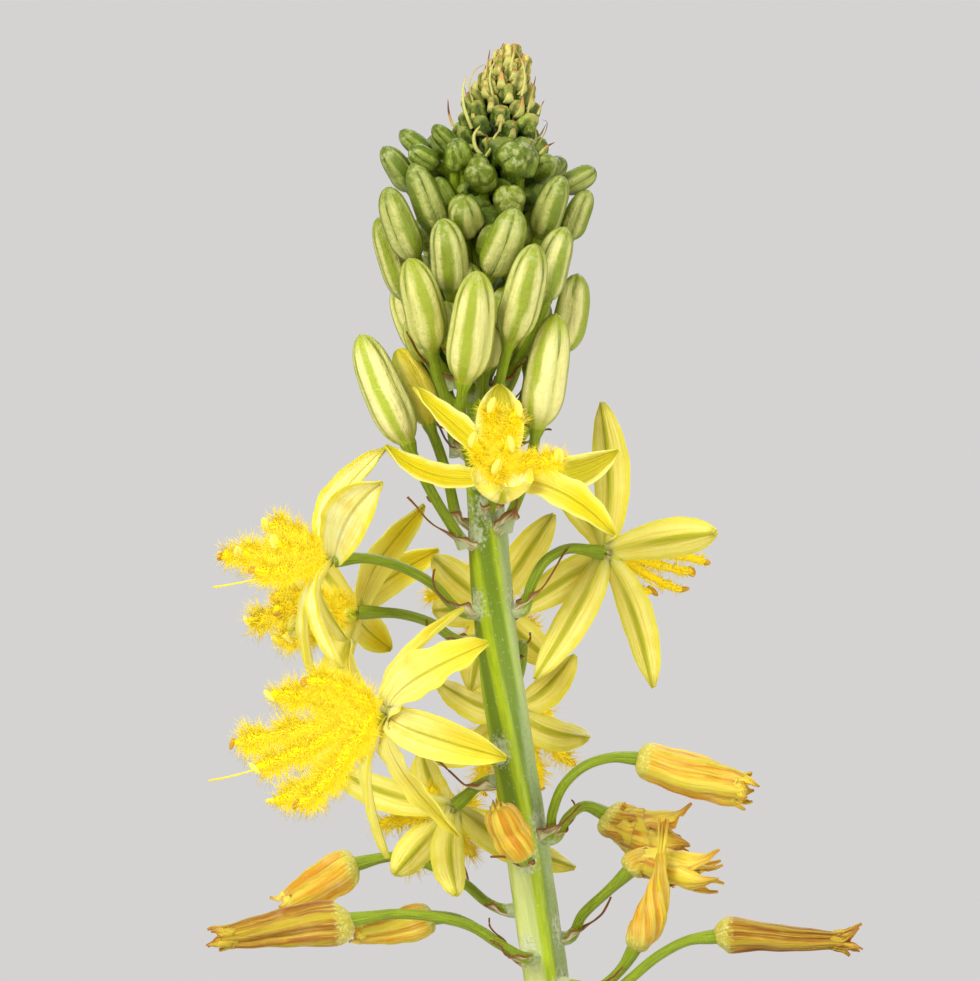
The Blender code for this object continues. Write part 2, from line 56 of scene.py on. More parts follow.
# %% [markdown]
# ## Reading the solids
#
# A solid comes in as loose triangles, so a copy is merged before it is read. A stalk or a bud was
# turned on a ring of corners that was carried along a line. Its two flat ends are the only level
# groups of triangles whose corners stand in a circle. From the end that sits on the stem, each
# step over the mesh reaches the next ring, and a ring's middle and radius are all that the fine
# piece needs.


# %% Merge a solid and find its round ends
def merged(node):
    """A copy of a solid's mesh with its loose corners merged."""
    work = bmesh.new()
    work.from_mesh(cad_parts[node].data)
    bmesh.ops.remove_doubles(work, verts=work.verts, dist=MM / 1000)
    work.verts.index_update()
    work.faces.index_update()
    return work


def level_group(first):
    """The connected faces that are level with one face."""
    group, queue = {first}, [first]
    while queue:
        for edge in queue.pop().edges:
            for face in edge.link_faces:
                if face not in group and face.normal.dot(first.normal) > 0.9995:
                    group.add(face)
                    queue.append(face)
    return group


def circle_of(corners):
    """The middle of some corners, and how far each of them is from it."""
    spots = np.array(sorted(tuple(corner.co) for corner in corners))
    middle = spots.mean(axis=0)
    return Vector(middle), np.linalg.norm(spots - middle, axis=1)


def round_ends(work):
    """Each flat round end as its middle, its radius and its corners."""
    ends, seen = [], set()
    for face in work.faces:
        if face in seen:
            continue
        group = level_group(face)
        seen |= group
        corners = {corner for member in group for corner in member.verts}
        if len(group) < 4 or len(corners) != len(group) + 2:
            continue
        middle, reach = circle_of(corners)
        if np.ptp(reach) < 0.03 * reach.max():
            ends.append((middle, reach.max(), corners))
    return ends


def rings(node, near):
    """Rows of x, y, z and radius along a turned solid, from the end that is nearest to a point."""
    work = merged(node)
    layer = min(round_ends(work), key=lambda end: (end[0] - near(end[0])).length)[2]
    size, rows, seen = len(layer), [], set()
    while len(layer) == size:
        middle, reach = circle_of(layer)
        rows.append((*middle, reach.mean()))
        seen |= layer
        layer = {edge.other_vert(c) for c in layer for edge in c.link_edges} - seen
    work.free()
    return np.array(rows)


def on_floor(end):
    """The point of the floor under another point."""
    return Vector((end.x, end.y, 0))


scape_rows = rings("scape", on_floor)
print(len(scape_rows), "stem rings from", scape_rows[0].round(4), "to", scape_rows[-1].round(4))


# %% Follow the stem's middle line
def stem_at(height):
    """The stem's middle and its radius at a height."""
    x, y, radius = (np.interp(height, scape_rows[:, 2], scape_rows[:, i]) for i in (0, 1, 3))
    return Vector((x, y, height)), radius


def nearest_stem(end):
    """The point of the stem level with another point."""
    return stem_at(end.z)[0]


def named(start):
    """The names of the solids that start with a word."""
    return sorted(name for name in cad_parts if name.startswith(start))


bud_rows = {name: rings(name, nearest_stem) for name in named("bud_")}
faded_rows = {name: rings(name, nearest_stem) for name in named("faded_")}
print("buds:", len(bud_rows), "withered flowers:", len(faded_rows))

# %% [markdown]
# ## Reading the open flowers
#
# An open flower's solid is a stalk joined to six petals, so only its stalk still has rings. Its
# stamens are read first: the widest round end is the foot of the ovary, the narrowest is the tip
# of the style, and the line between them is the way the flower faces. A petal's tip is a corner
# that is further from the middle than every corner beside it. The tips are sorted by their turn
# round the flower, anticlockwise for one who looks into it, starting from the top.

# %% Find each flower's middle, direction and petal tips
OVARY_FOOT = 0.8 * MM  # how far the ovary's foot stands in front of the flower's middle
SAME_TIP = 1.3 * MM
NEAREST_TIP = 2.5 * MM
STALK_END = 0.5 * MM  # a stalk's rings are narrower than this


def flower_axis(stamens):
    """The flower's middle, its direction, and the ends of its filaments and then its style."""
    work = merged(stamens)
    ends = sorted(round_ends(work), key=lambda end: end[1])
    style, *filaments, foot = (middle for middle, *_ in ends)
    work.free()
    facing = (style - foot).normalized()
    return foot - facing * OVARY_FOOT, facing, sorted(filaments, key=tuple) + [style]


def far_corners(node, middle):
    """Groups of corners that are further from a point than all their neighbours are."""
    work = merged(node)
    reach = {corner: (corner.co - middle).length for corner in work.verts}
    groups = []
    for corner in sorted(work.verts, key=reach.get, reverse=True):
        beside = [edge.other_vert(corner) for edge in corner.link_edges]
        if reach[corner] < NEAREST_TIP or any(reach[other] > reach[corner] for other in beside):
            continue
        if all((corner.co - spot).length > SAME_TIP for spot in groups):
            near = [v.co for v in work.verts if (v.co - corner.co).length < SAME_TIP]
            groups.append(sum(near, Vector()) / len(near))
    work.free()
    return groups


def clock_of(spot, middle, facing):
    """A point's turn round a flower, from its top."""
    top = (UP - facing * facing.z).normalized()
    away = spot - middle
    return math.atan2(away.dot(facing.cross(top)), away.dot(top)) % math.tau


flowers = {}
for name in [name for name in named("flower_") if name[-1].isdigit()]:
    middle, facing, ends = flower_axis(name + "_stamens")
    stalk = rings(name, nearest_stem)
    stalk = stalk[stalk[:, 3] < STALK_END]
    foot = Vector(stalk[0, :3])
    tips = [tip for tip in far_corners(name, middle) if (tip - foot).length > SAME_TIP]
    tips = sorted(tips[:6], key=lambda tip: clock_of(tip, middle, facing))
    flowers[name] = (middle, facing, stalk, tips, ends)
    print(name, "tips:", [[round(x / MM, 1) for x in tip] for tip in tips])
stalk_rows = [flower[2] for flower in flowers.values()] + list(faded_rows.values())

# %% [markdown]
# ## Small tools for node trees
#
# Both materials and growth rules are node trees. A node's output is wrapped as a Value, so a sum
# such as `rib * 0.5 + wavy` is written as arithmetic and adds the Math nodes by itself, in the
# tree that was opened last. Three numbers from 0 to 255 stand for a screen colour.


# %% Values and nodes
OPEN = []  # the trees so far; nodes go to the last


class Value:
    """One output of a node, as a term for arithmetic; square brackets give a sister output."""

    def __init__(self, socket):
        self.socket = socket

    def __getitem__(self, name):
        return Value(self.socket.node.outputs[name])


def wire(value, socket):
    """Fill a socket with a node's output or with a constant."""
    if isinstance(value, Value):
        OPEN[-1].links.new(value.socket, socket)
    else:
        socket.default_value = value


def node(kind, sockets=None, out=0, **settings):
    """Add a node and give one output: settings are its own choices, sockets are its inputs."""
    made = OPEN[-1].nodes.new(kind)
    for key, value in settings.items():
        setattr(made, key, value)
    for socket, value in (sockets or {}).items():
        wire(value, made.inputs[socket])
    return Value(made.outputs[out])


def is_place(value):
    """Whether a value is a place, and not one number."""
    return isinstance(value, tuple) or isinstance(value, Value) and value.socket.type == "VECTOR"


def maths(operation, *values):
    """One Math node, or one Vector Math node where a place comes in."""
    places, sockets = sum(map(is_place, values)), dict(enumerate(values))
    if places and places < len(values):
        operation, sockets = "SCALE", dict(zip((0, "Scale"), values))
    kind = "ShaderNodeVectorMath" if places else "ShaderNodeMath"
    return node(kind, sockets, operation=operation)


SIGNS = {"add": "ADD", "sub": "SUBTRACT", "mul": "MULTIPLY", "truediv": "DIVIDE", "pow": "POWER"}
for word, sign in SIGNS.items():
    setattr(Value, f"__{word}__", lambda a, b, sign=sign: maths(sign, a, b))
    setattr(Value, f"__r{word}__", lambda a, b, sign=sign: maths(sign, b, a))
print("arithmetic on values:", *SIGNS)


# %% Places, noise and colours
def sine(value):
    """The sine of a number."""
    return maths("SINE", value)


def cosine(value):
    """The cosine of a number."""
    return maths("COSINE", value)


def larger(first, second):
    """The larger of two numbers."""
    return maths("MAXIMUM", first, second)


def parts(place):
    """The x, y and z of a place."""
    split = node("ShaderNodeSeparateXYZ", {0: place})
    return split["X"], split["Y"], split["Z"]


def place_of(*numbers):
    """Three numbers as one place."""
    return node("ShaderNodeCombineXYZ", dict(enumerate(numbers)))


def carried(name, out="Fac"):
    """What the mesh carries at its corners, for a material; the output Vector gives a place."""
    return node("ShaderNodeAttribute", None, out, attribute_name=name)


def on_object():
    """The place on the piece itself, in metres."""
    return node("ShaderNodeTexCoord", None, "Object")


def band(value, low, high):
    """0 below low, 1 above high, and smooth between; it falls instead where low is above high."""
    ends = {"From Min": min(low, high), "From Max": max(low, high)}
    ends |= {"To Min": float(low > high), "To Max": float(low < high)}
    return node("ShaderNodeMapRange", {"Value": value} | ends, interpolation_type="SMOOTHSTEP")


def grain(place, scale, detail=3.0, roughness=0.55):
    """Soft noise from 0 to 1."""
    sockets = {"Vector": place, "Scale": scale, "Detail": detail, "Roughness": roughness}
    return node("ShaderNodeTexNoise", sockets)


def paint(colour):
    """A screen colour as the linear colour that a shader takes."""
    if isinstance(colour, Value):
        return colour
    parts = [part / 255 for part in colour]
    return (*(p / 12.92 if p < 0.04045 else ((p + 0.055) / 1.055) ** 2.4 for p in parts), 1.0)


def blended(factor, first, second):
    """Two colours mixed by a factor."""
    sockets = {"Factor": factor, 6: paint(first), 7: paint(second)}
    return node("ShaderNodeMix", sockets, 2, data_type="RGBA")


def layered(colour, *layers):
    """A colour under others, each given as how much it covers and what it is."""
    for cover, over in layers:
        colour = blended(cover, colour, over)
    return colour


print("a screen grey of 128 is", round(paint((128,))[0], 3), "to a shader")

# %% [markdown]
# ## The growth rule for stalks and buds
#
# A stalk, a bud, an anther and the stem itself are one kind of form: a section carried along a
# line, round or with a few ribs. One Geometry Nodes tree grows them all. It turns the line into a
# curve, sweeps a circle along it at the radius that the line carries, and then pushes each corner
# in or out from the line as its turn round the section says. It leaves three values on the mesh
# for the materials: rib is 0 on a rib and 1 in a groove, skin is the place on the unrolled
# surface, and every value that the line carried is spread along the sweep.


# %% Tools for geometry trees
def field(name, kind="FLOAT"):
    """A value that the geometry carries, inside a geometry tree."""
    return node("GeometryNodeInputNamedAttribute", {"Name": name}, data_type=kind)


def keep(geometry, **values):
    """The geometry with values stored on it."""
    for name, value in values.items():
        kind = "FLOAT_VECTOR" if is_place(value) else "FLOAT"
        sockets = {"Geometry": geometry, "Name": name, "Value": value}
        geometry = node("GeometryNodeStoreNamedAttribute", sockets, data_type=kind)
    return geometry


def position():
    """Where each corner is."""
    return node("GeometryNodeInputPosition")


def moved(geometry, offset):
    """The geometry with each corner shifted."""
    return node("GeometryNodeSetPosition", {"Geometry": geometry, "Offset": offset})


def joined(*pieces):
    """Several geometries as one."""
    both = node("GeometryNodeJoinGeometry")
    for piece in pieces:
        wire(piece, both.socket.node.inputs[0])
    return both


def realized(geometry):
    """The geometry with its instances made real."""
    return node("GeometryNodeRealizeInstances", {0: geometry})


def standing(points, instance, rotation, *scale):
    """A copy of a geometry on every point."""
    sockets = {"Points": points, "Instance": instance, "Rotation": rotation}
    return node("GeometryNodeInstanceOnPoints", sockets | {"Scale": place_of(*scale)})


def growth_rule(**wants):
    """Turn a recipe into a geometry tree with named inputs; its last input is the material."""

    def make(recipe):
        tree = bpy.data.node_groups.new(recipe.__name__, "GeometryNodeTree")
        kinds = {"Geometry": "Geometry", **wants, "Material": "Material"}
        for label, kind in kinds.items():
            tree.interface.new_socket(label, in_out="INPUT", socket_type="NodeSocket" + kind)
        tree.interface.new_socket("Geometry", in_out="OUTPUT", socket_type="NodeSocketGeometry")
        OPEN.append(tree)
        source = tree.nodes.new("NodeGroupInput")
        given = {label: Value(source.outputs[label]) for label in kinds}
        sockets = {"Geometry": realized(recipe(given)), "Material": given["Material"]}
        wire(node("GeometryNodeSetMaterial", sockets), tree.nodes.new("NodeGroupOutput").inputs[0])
        print(tree.name, "nodes:", len(tree.nodes))
        return tree

    return make


def swept(lines, sides, scale):
    """Lines as tubes that remember their middle line (spine) and the turn round it (turn)."""
    curve = keep(node("GeometryNodeMeshToCurve", {"Mesh": lines}), spine=position())
    ring = node("GeometryNodeCurvePrimitiveCircle", {"Resolution": sides, "Radius": 1.0})
    ring = keep(ring, turn=node("GeometryNodeInputIndex") / sides)
    sockets = {"Curve": curve, "Profile Curve": ring, "Scale": scale, "Fill Caps": True}
    return node("GeometryNodeCurveToMesh", sockets)


print("geometry tools ready")


# %% The ribbed sweep tree
@growth_rule(Sides="Int", Ribs="Int", Pinch="Float")
def ribbed_sweep(given):
    """Grow lines that carry radius, ribbing, groove, spin and station into ribbed tubes."""
    mesh = swept(given["Geometry"], given["Sides"], field("radius"))
    angle = field("turn") * math.tau + field("spin")
    ribs = angle * given["Ribs"]
    crest = cosine(ribs)
    narrow = (0.5 - 0.5 * crest) ** given["Pinch"]
    depth = crest * field("ribbing") - narrow * field("groove")
    mesh = moved(mesh, (position() - field("spine", "FLOAT_VECTOR")) * depth)
    fold = maths("ABSOLUTE", maths("FRACT", ribs / math.tau) * 2.0 - 1.0)
    skin = place_of(cosine(angle), sine(angle), field("station"))
    return keep(mesh, rib=1.0 - fold, skin=skin)


# %% [markdown]
# ## From line to piece
#
# The lines are plain meshes of corners and edges that carry their values as attributes. The tree
# grows them as a modifier, the grown result is kept as an ordinary mesh, and the modifier goes. A
# smooth line through a few known rows comes from their slopes: each stretch is a cubic that leaves
# one row and meets the next in the direction of the rows on both sides.


# %% Smooth a line
def smooth_rows(rows, step):
    """Rows of x, y, z and other values, made dense and smooth at a step in metres."""
    rows = np.asarray(rows, float)
    gaps = np.linalg.norm(np.diff(rows[:, :3], axis=0), axis=1)[:, None]
    slopes = np.diff(rows, axis=0) / gaps
    inner = (slopes[:-1] * gaps[1:] + slopes[1:] * gaps[:-1]) / (gaps[1:] + gaps[:-1])
    slopes = np.vstack([slopes[:1], inner, slopes[-1:]])
    dense = []
    for i, gap in enumerate(gaps[:, 0]):
        count = max(int(round(gap / step)), 1)
        t = (np.arange(count) / count)[:, None]
        start = (2 * t**3 - 3 * t**2 + 1) * rows[i] + (t**3 - 2 * t**2 + t) * gap * slopes[i]
        end = (3 * t**2 - 2 * t**3) * rows[i + 1] + (t**3 - t**2) * gap * slopes[i + 1]
        dense.append(start + end)
    return np.vstack(dense + [rows[-1:]])


def lengths_along(points):
    """How far along a line each of its points lies."""
    return np.concatenate([[0], np.cumsum(np.linalg.norm(np.diff(points, axis=0), axis=1))])


print("the stem is", round(lengths_along(scape_rows[:, :3])[-1] / MM, 1), "mm long")


# %% Draw lines as a mesh
def carry(mesh, name, numbers):
    """Give a mesh one number or one place at each corner."""
    numbers = np.asarray(numbers, np.float32)
    kind, key = ("FLOAT_VECTOR", "vector") if numbers.ndim == 2 else ("FLOAT", "value")
    mesh.attributes.new(name, kind, "POINT").data.foreach_set(key, numbers.ravel())


def line_mesh(name, lines):
    """A mesh of separate lines; each is a dict of points and of values at the points."""
    points, edges, values = [], [], {}
    for line in lines:
        first = len(points)
        points += [tuple(spot) for spot in line["points"]]
        edges += [(i, i + 1) for i in range(first, len(points) - 1)]
        for key, numbers in line.items():
            if key != "points":
                shape = (len(points) - first, *np.shape(numbers)[1:])
                values.setdefault(key, []).append(np.broadcast_to(numbers, shape))
    mesh = bpy.data.meshes.new(name)
    mesh.from_pydata(points, edges, [])
    for key, numbers in values.items():
        carry(mesh, key, np.concatenate(numbers))
    return mesh


def add_piece(name, mesh):
    """An object for a mesh, at the origin."""
    piece = bpy.data.objects.new(name, mesh)
    bpy.context.scene.collection.objects.link(piece)
    return piece


print("line tools ready")


# %% Grow a piece
def finish_surface(mesh, sharp=180):
    """Faces that look out, and smooth shading that creases where faces meet at more than sharp."""
    work = bmesh.new()
    work.from_mesh(mesh)
    if work.calc_volume(signed=True) < 0:
        bmesh.ops.reverse_faces(work, faces=work.faces)
        work.to_mesh(mesh)
    work.free()
    mesh.shade_smooth()
    if sharp < 180:
        mesh.set_sharp_from_angle(angle=math.radians(sharp))
    print(mesh.name, "triangles:", sum(len(face.vertices) - 2 for face in mesh.polygons))


def dress(piece, slot, *nodes):
    """Put a piece under the root body and hide the solids that it stands for; slot is not used."""
    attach(piece, "root")
    if nodes:
        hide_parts(*nodes)


def grow(name, slot, nodes, rule, lines, **inputs):
    """Grow lines by a tree and dress the plain result."""
    piece = add_piece(name, line_mesh("lines", lines))
    modifier = piece.modifiers.new("rule", "NODES")
    modifier.node_group = rule
    for socket in rule.interface.items_tree:
        if socket.in_out == "INPUT" and socket.name in inputs:
            modifier[socket.identifier] = inputs[socket.name]
    graph = bpy.context.evaluated_depsgraph_get()
    grown = bpy.data.meshes.new_from_object(piece.evaluated_get(graph))
    piece.modifiers.remove(modifier)
    piece.data = grown
    grown.name = name
    finish_surface(grown)
    dress(piece, slot, *nodes)
    return piece


print("tools for pieces ready")

# %% [markdown]
# ## Living green
#
# Stem, stalks and buds share a waxy skin: light passes a little way into it, the gloss is soft,
# and fine streaks run lengthwise. What differs is where the colours lie, so each material is a
# recipe that mixes its colours, and one function wires them all. The streaks use the unrolled
# surface, drawn out along its length, so they follow every bend.


# %% The shader that all plant surfaces share
def open_material(name):
    """Start a material: its Principled shader's inputs."""
    made = bpy.data.materials.new(name)
    made.use_nodes = True
    OPEN.append(made.node_tree)
    return made, made.node_tree.nodes["Principled BSDF"].inputs


def relief_of(height, distance):
    """A bump of a distance in mm."""
    sockets = {"Height": height, "Distance": distance * MM, "Strength": 1.0}
    return node("ShaderNodeBump", sockets)


def plant_material(recipe):
    """A material from a recipe: colour, roughness, relief, its height in mm, glow and gloss."""
    made, shader = open_material(recipe.__name__)
    colour, rough, bump, height, glow, *gloss = recipe()
    wire(colour, shader["Base Color"])
    wire(rough, shader["Roughness"])
    wire(relief_of(bump, height), shader["Normal"])
    shader["Subsurface Weight"].default_value = glow
    shader["Subsurface Radius"].default_value = (1.0, 0.9, 0.35)
    shader["Subsurface Scale"].default_value = 0.4 * MM
    shader["IOR"].default_value = 1.42
    shader["Specular IOR Level"].default_value = gloss[0] if gloss else 0.3
    print("material:", made.name)
    return made


def streaks(fineness, length):
    """Lengthwise streaks from 0 to 1 on the unrolled surface of a stalk."""
    place = carried("skin", "Vector") * (fineness, fineness, 1.0 / length)
    return grain(place, 1.0, 4.0, 0.6)


print("shared shader ready")

# %% The stem's skin
LEAF, RIDGE, GROOVE, BLOOM = (116, 138, 18), (168, 186, 30), (108, 134, 34), (196, 204, 164)
# LIT_LOW and LIT_HIGH bound the heights where the painted highlight on the stem's left edge fades
# out.
LIT_LOW, LIT_HIGH = 0.098, 0.103  # the heights between which the bright edge fades


@plant_material
def stem_skin():
    """The stem: bright ribs, darker grooves, a scurfy pale side, whitish feet of stalks, and a
    painted highlight low on its left edge.
    """
    rib, scurf, place = carried("rib"), carried("scurf"), on_object()
    fine, broad = streaks(5.0, 2.2), streaks(2.2, 6.0)
    grit = grain(place, 4200.0)
    wavy = broad * 0.5 - 0.25
    right = parts(place - carried("spine", "Vector"))[0] / carried("girth") + wavy
    side = band(right, 0.4, 0.75) * (grit * 0.9 + 0.2)
    # Painted highlight: a pale band down the stem's left edge, only low on the stem.
    painted_highlight = band(right, 0.15, -0.2) * band(right, -1.05, -0.7)
    painted_highlight = painted_highlight * band(parts(place)[2], LIT_HIGH, LIT_LOW) * (broad * 0.8 + 0.3)
    patch = band(scurf + grit * 1.4 - 0.7, 0.42, 0.85)
    flecks = band(grain(place, 5200.0, 2.0), 0.66, 0.72)
    colour = layered(
        blended(broad, GROOVE, LEAF),
        (band(rib + wavy, 0.66, 0.2), RIDGE),
        (band(fine, 0.4, 0.7) * 0.55, LEAF),
        (side, blended(fine, (142, 166, 96), BLOOM)),
        (painted_highlight, (226, 230, 150)),
        (patch * 0.85, blended(grit, (168, 182, 122), (226, 226, 200))),
        (flecks * 0.5, BLOOM),
    )
    rough = larger(side, patch) * 0.3 + 0.28 + fine * 0.2
    return colour, rough, fine + grit * (patch + side), 0.07, 0.25


# %% The buds' skin
@plant_material
def bud_skin():
    """Stalk and bud: pale faces, yellow-green midribs, green seams with a line of painted shade, a
    green hood, and painted shade towards the outline.
    """
    names = ("share", "ripe", "rib", "spin", "golden")
    share, ripe, rib, spin, golden = (carried(name) for name in names)
    fine, broad = streaks(5.0, 1.8), streaks(1.6, 3.6)
    mottle, grit = grain(on_object(), 2300.0, 4.0), grain(on_object(), 6500.0, 2.0)

    def by_age(hard, pale):
        """A colour that changes as a bud ripens."""
        return blended(ripe, hard, pale)

    across = rib + fine * 0.24 + broad * 0.7 - 0.47
    cream = blended(ripe**0.5, (158, 174, 70), (252, 241, 162))
    cream = blended(band(broad, 0.45, 0.65) * ripe * 0.6, cream, (250, 234, 160))
    green = by_age((92, 116, 6), (166, 182, 4))
    midrib = band(0.34 - 0.2 * ripe - across, -0.18, 0.12)
    edge = rib + fine * 0.1 - 0.05 + band(share, 0.5, 1.0) * 0.12
    rim = larger(band(share, 0.76, 0.97), band(share, 0.16, 0.01)) * (broad * 0.9 + 0.4)
    hood = band(share, 0.66, 0.92) * band(mottle, 0.46, 0.62) * (0.8 - 0.45 * ripe)
    cloudy = band(mottle, 0.46, 0.3) * (0.45 - 0.4 * ripe)
    shade = sine(spin * 5.0) * 0.16 + 0.08
    # Painted shade: darker green where a bud's surface turns away from the camera, towards its
    # outline.
    painted_edge_shade = node("ShaderNodeLayerWeight", {"Blend": 0.5}, "Facing")
    painted_edge_shade = band(painted_edge_shade, 0.45, 0.8) * (fine * 0.6 + 0.5)
    bud = layered(
        blended(band(fine, 0.35, 0.65), cream, blended(0.22, cream, green)),
        (midrib * 0.9, green),
        (band(edge, 0.6, 1.0) * broad * 0.8, by_age((96, 118, 16), (172, 186, 26))),
        # Painted shade: a thin dark line down the floor of each seam's groove.
        (band(edge, 0.955, 0.995) * 0.8, by_age((60, 80, 8), (118, 136, 16))),
        (rim, by_age((100, 120, 18), (176, 188, 20))),
        (hood, blended(grit, (150, 164, 70), (218, 216, 160))),
        (cloudy, by_age((70, 92, 8), (190, 196, 40))),
        (shade, by_age((96, 110, 8), (206, 204, 30))),
        (painted_edge_shade, by_age((82, 102, 8), (152, 170, 10))),
        (golden * 0.85, blended(band(across, 0.5, 0.2), (212, 190, 22), (146, 146, 10))),
    )
    stalk = blended(band(fine, 0.35, 0.7), (150, 168, 24), (112, 136, 14))
    length = parts(carried("skin", "Vector"))[2]
    scurf = band(length, 2.2, 0.0) + mottle * 1.4 - 0.8
    stalk = blended(band(scurf, 0.35, 0.75) * 0.7, stalk, BLOOM)
    colour = blended(band(share, -0.01, 0.02), stalk, bud)
    return colour, mottle * 0.3 + 0.2, fine + mottle + grit * 0.4, 0.12, 0.15, 0.42


# %% [markdown]
# ## The stem
#
# The stem leans through the bottle's neck and bows in the raceme. It has five low ribs that wander
# a little. A slow change of the ribs' depth along the stem keeps them from looking drawn with a
# ruler. Each stalk's foot leaves a whitish scar on it.

# %% Grow the stem
RIB_START, RIB_TURN, RIB_FOOT = 0.35, 0.062, 102.0  # radians, radians per mm, mm
SCURF_REACH = np.array((1.0, 1.0, 1.3)) * MM
STEM_STEP = 0.6 * MM
stem_line = smooth_rows(scape_rows, STEM_STEP)
station = stem_line[:, 2] / MM
stem = {"points": stem_line[:, :3], "radius": stem_line[:, 3], "girth": stem_line[:, 3]}
stem["station"] = station
stem["ribbing"] = 0.06 + 0.02 * np.sin(station * 0.7) + 0.015 * np.sin(station * 1.9)
stem["spin"] = RIB_START + RIB_TURN * np.clip(station - RIB_FOOT, 0, None)
stem_piece = grow(
    "stem", "stem_green", ["scape"], ribbed_sweep, [stem], Sides=72, Ribs=5, Material=stem_skin
)


def scurf_at(points):
    """How much whitish scurf lies at points of the stem: much at the foot of each stalk."""
    total = np.zeros(len(points))
    for rows in [*bud_rows.values(), *stalk_rows]:
        centre, radius = stem_at(rows[0, 2])
        foot = centre + (Vector(rows[1, :3]) - centre).normalized() * radius
        gap = (points - np.array(foot)) / SCURF_REACH
        total = np.maximum(total, np.exp(-(gap**2).sum(axis=1)))
    return total


stem_points = np.zeros(len(stem_piece.data.vertices) * 3)
stem_piece.data.vertices.foreach_get("co", stem_points)
carry(stem_piece.data, "scurf", scurf_at(stem_points.reshape(-1, 3)))

# %% [markdown]
# ## The buds
#
# A bud is a blunt capsule, widest near its middle and closed by three outer petals, each with a
# green midrib. Its thin stalk rises from the stem. Its solid gives the stalk's route, both ends
# and the width. The capsule's outline is a quick swell at the foot times a rounder close at the
# tip. Ripeness runs from the hard green buds at the top to the pale ones that open next, by the
# height of each bud.

# %% Grow the buds
STALK = 0.36 * MM  # half a stalk's thickness
STALK_STEP = 0.3 * MM
RIPE_HEIGHT, GREEN_HEIGHT = 0.13, 0.1435
BUD_GIRTH = 0.9
GOLDEN = list(bud_rows).index("bud_29")  # the bud that opens next has turned yellow


def capsule(share):
    """A bud's half-width along its length, as a share of its widest."""
    foot = (1 - np.clip(1 - share / 0.36, 0, 1) ** 2.2) ** 0.55
    head = (1 - np.clip((share - 0.3) / 0.7, 0, 1) ** 4.6) ** 0.6
    return np.maximum(foot * head, np.where(share < 0.5, 0.38, 0.02))


def bud_line(rows, ripe, number, steps=20):
    """One bud with its stalk as a line for the sweep; steps are the rows in half a bud."""
    widest = rows[:, 3].max()
    base = max(int(np.argmax(rows[:, 3] > STALK * 1.02)) if widest > STALK * 1.1 else 3, 3)
    stalk = smooth_rows(rows[: base + 1], 0.5 * MM)[:-1]
    share = np.sin(np.linspace(0, math.pi / 2, steps)) ** 1.1
    share = np.concatenate([share * 0.5, 1 - share[::-1][1:] * 0.5])
    middle = rows[base, :3] + (rows[-1, :3] - rows[base, :3]) * share[:, None]
    bow = np.array([math.sin(number * 2.3), math.cos(number * 1.7), 0]) * widest * 0.16
    middle += bow * np.sin(share * math.pi)[:, None]
    half = widest * BUD_GIRTH * capsule(share) * (1.05 - 0.16 * share**1.5)
    points = np.vstack([stalk[:, :3], middle])
    foot = STALK * (0.92 + 0.5 * np.exp(-np.arange(len(stalk)) / 1.2))
    plain = np.zeros(len(stalk))
    swell = np.sin(share * math.pi) ** 0.5
    split = 0.09 + (0.1 + 0.12 * ripe) * np.clip((share - 0.7) / 0.3, 0, 1) ** 1.5
    return {
        "points": points,
        "radius": np.concatenate([foot, half]),
        "station": lengths_along(points) / MM,
        "share": np.concatenate([plain - 0.05, share]),
        "ribbing": np.concatenate([plain, (0.06 - 0.03 * ripe) * swell]),
        "groove": np.concatenate([plain, split]),
        "spin": (number * 2.4) % math.tau,
        "ripe": ripe,
        "golden": float(number == GOLDEN),
    }


def ripeness(height):
    """How near a bud at a height is to opening."""
    return np.clip((GREEN_HEIGHT - height) / (GREEN_HEIGHT - RIPE_HEIGHT), 0, 1)


bud_lines = [
    bud_line(rows, ripeness(rows[-4:, 2].mean()), number)
    for number, rows in enumerate(bud_rows.values())
]
lobed = {"Ribs": 3, "Material": bud_skin}
grow("buds", "bud_green", bud_rows, ribbed_sweep, bud_lines, Sides=48, Pinch=9.0, **lobed)

# %% [markdown]
# The raceme is full: behind the buds of the outline sit shorter ones, close to the stem. They go
# round it by the golden angle, as all of them do, and only show as green between their neighbours.

# %% Fill the raceme
INNER_LOW, INNER_HIGH, INNER_COUNT = 0.1262, 0.1405, 44
GOLDEN_ANGLE = math.radians(137.508)


def inner_bud(number):
    """A short bud on a bent stalk, close to the stem."""
    share = number / INNER_COUNT
    foot, thick = stem_at(INNER_LOW + (INNER_HIGH - INNER_LOW) * share)
    turn = number * GOLDEN_ANGLE
    away = Vector((math.cos(turn), math.sin(turn), 0))
    route = [(foot + away * thick * 0.6, STALK)]
    ends = (3.8, 6.2 - 1.4 * share, (1.15 - 0.3 * share) * MM)
    for out, rise, width in ((1.7, 0.9, STALK), (2.4, 2.2, STALK), (2.7, 3.3, STALK * 1.3), ends):
        route.append((foot + away * out * (1.12 - 0.1 * share) * MM + UP * rise * MM, width))
    rows = np.array([[*spot, width] for spot, width in route])
    return bud_line(rows, ripeness(rows[-1, 2] + 1.5 * MM), number + 50, 12)


inner = [inner_bud(number) for number in range(INNER_COUNT)]
grow("inner_buds", "bud_green", [], ribbed_sweep, inner, Sides=18, Pinch=7.0, **lobed)

# %% [markdown]
# ## Petals as straps
#
# A bulbine petal, which a botanist calls a tepal, is a narrow strap: hollow along its inner face,
# with a keel on its back and a hooded tip. One function draws every strap in this lesson, fresh or
# withered, and the papery bracts too. It follows a line, bends its section into an arc, makes the
# middle thicker than the rims, and closes both ends. It carries three values to the material:
# across (-1 to 1), along (0 to 1) and outer (0 on the inner face, 1 on the back).

# %% Tools for straps
COLUMNS = 13  # points across each face
LOOP = 2 * COLUMNS
STRAP_CREASE = 60  # degrees


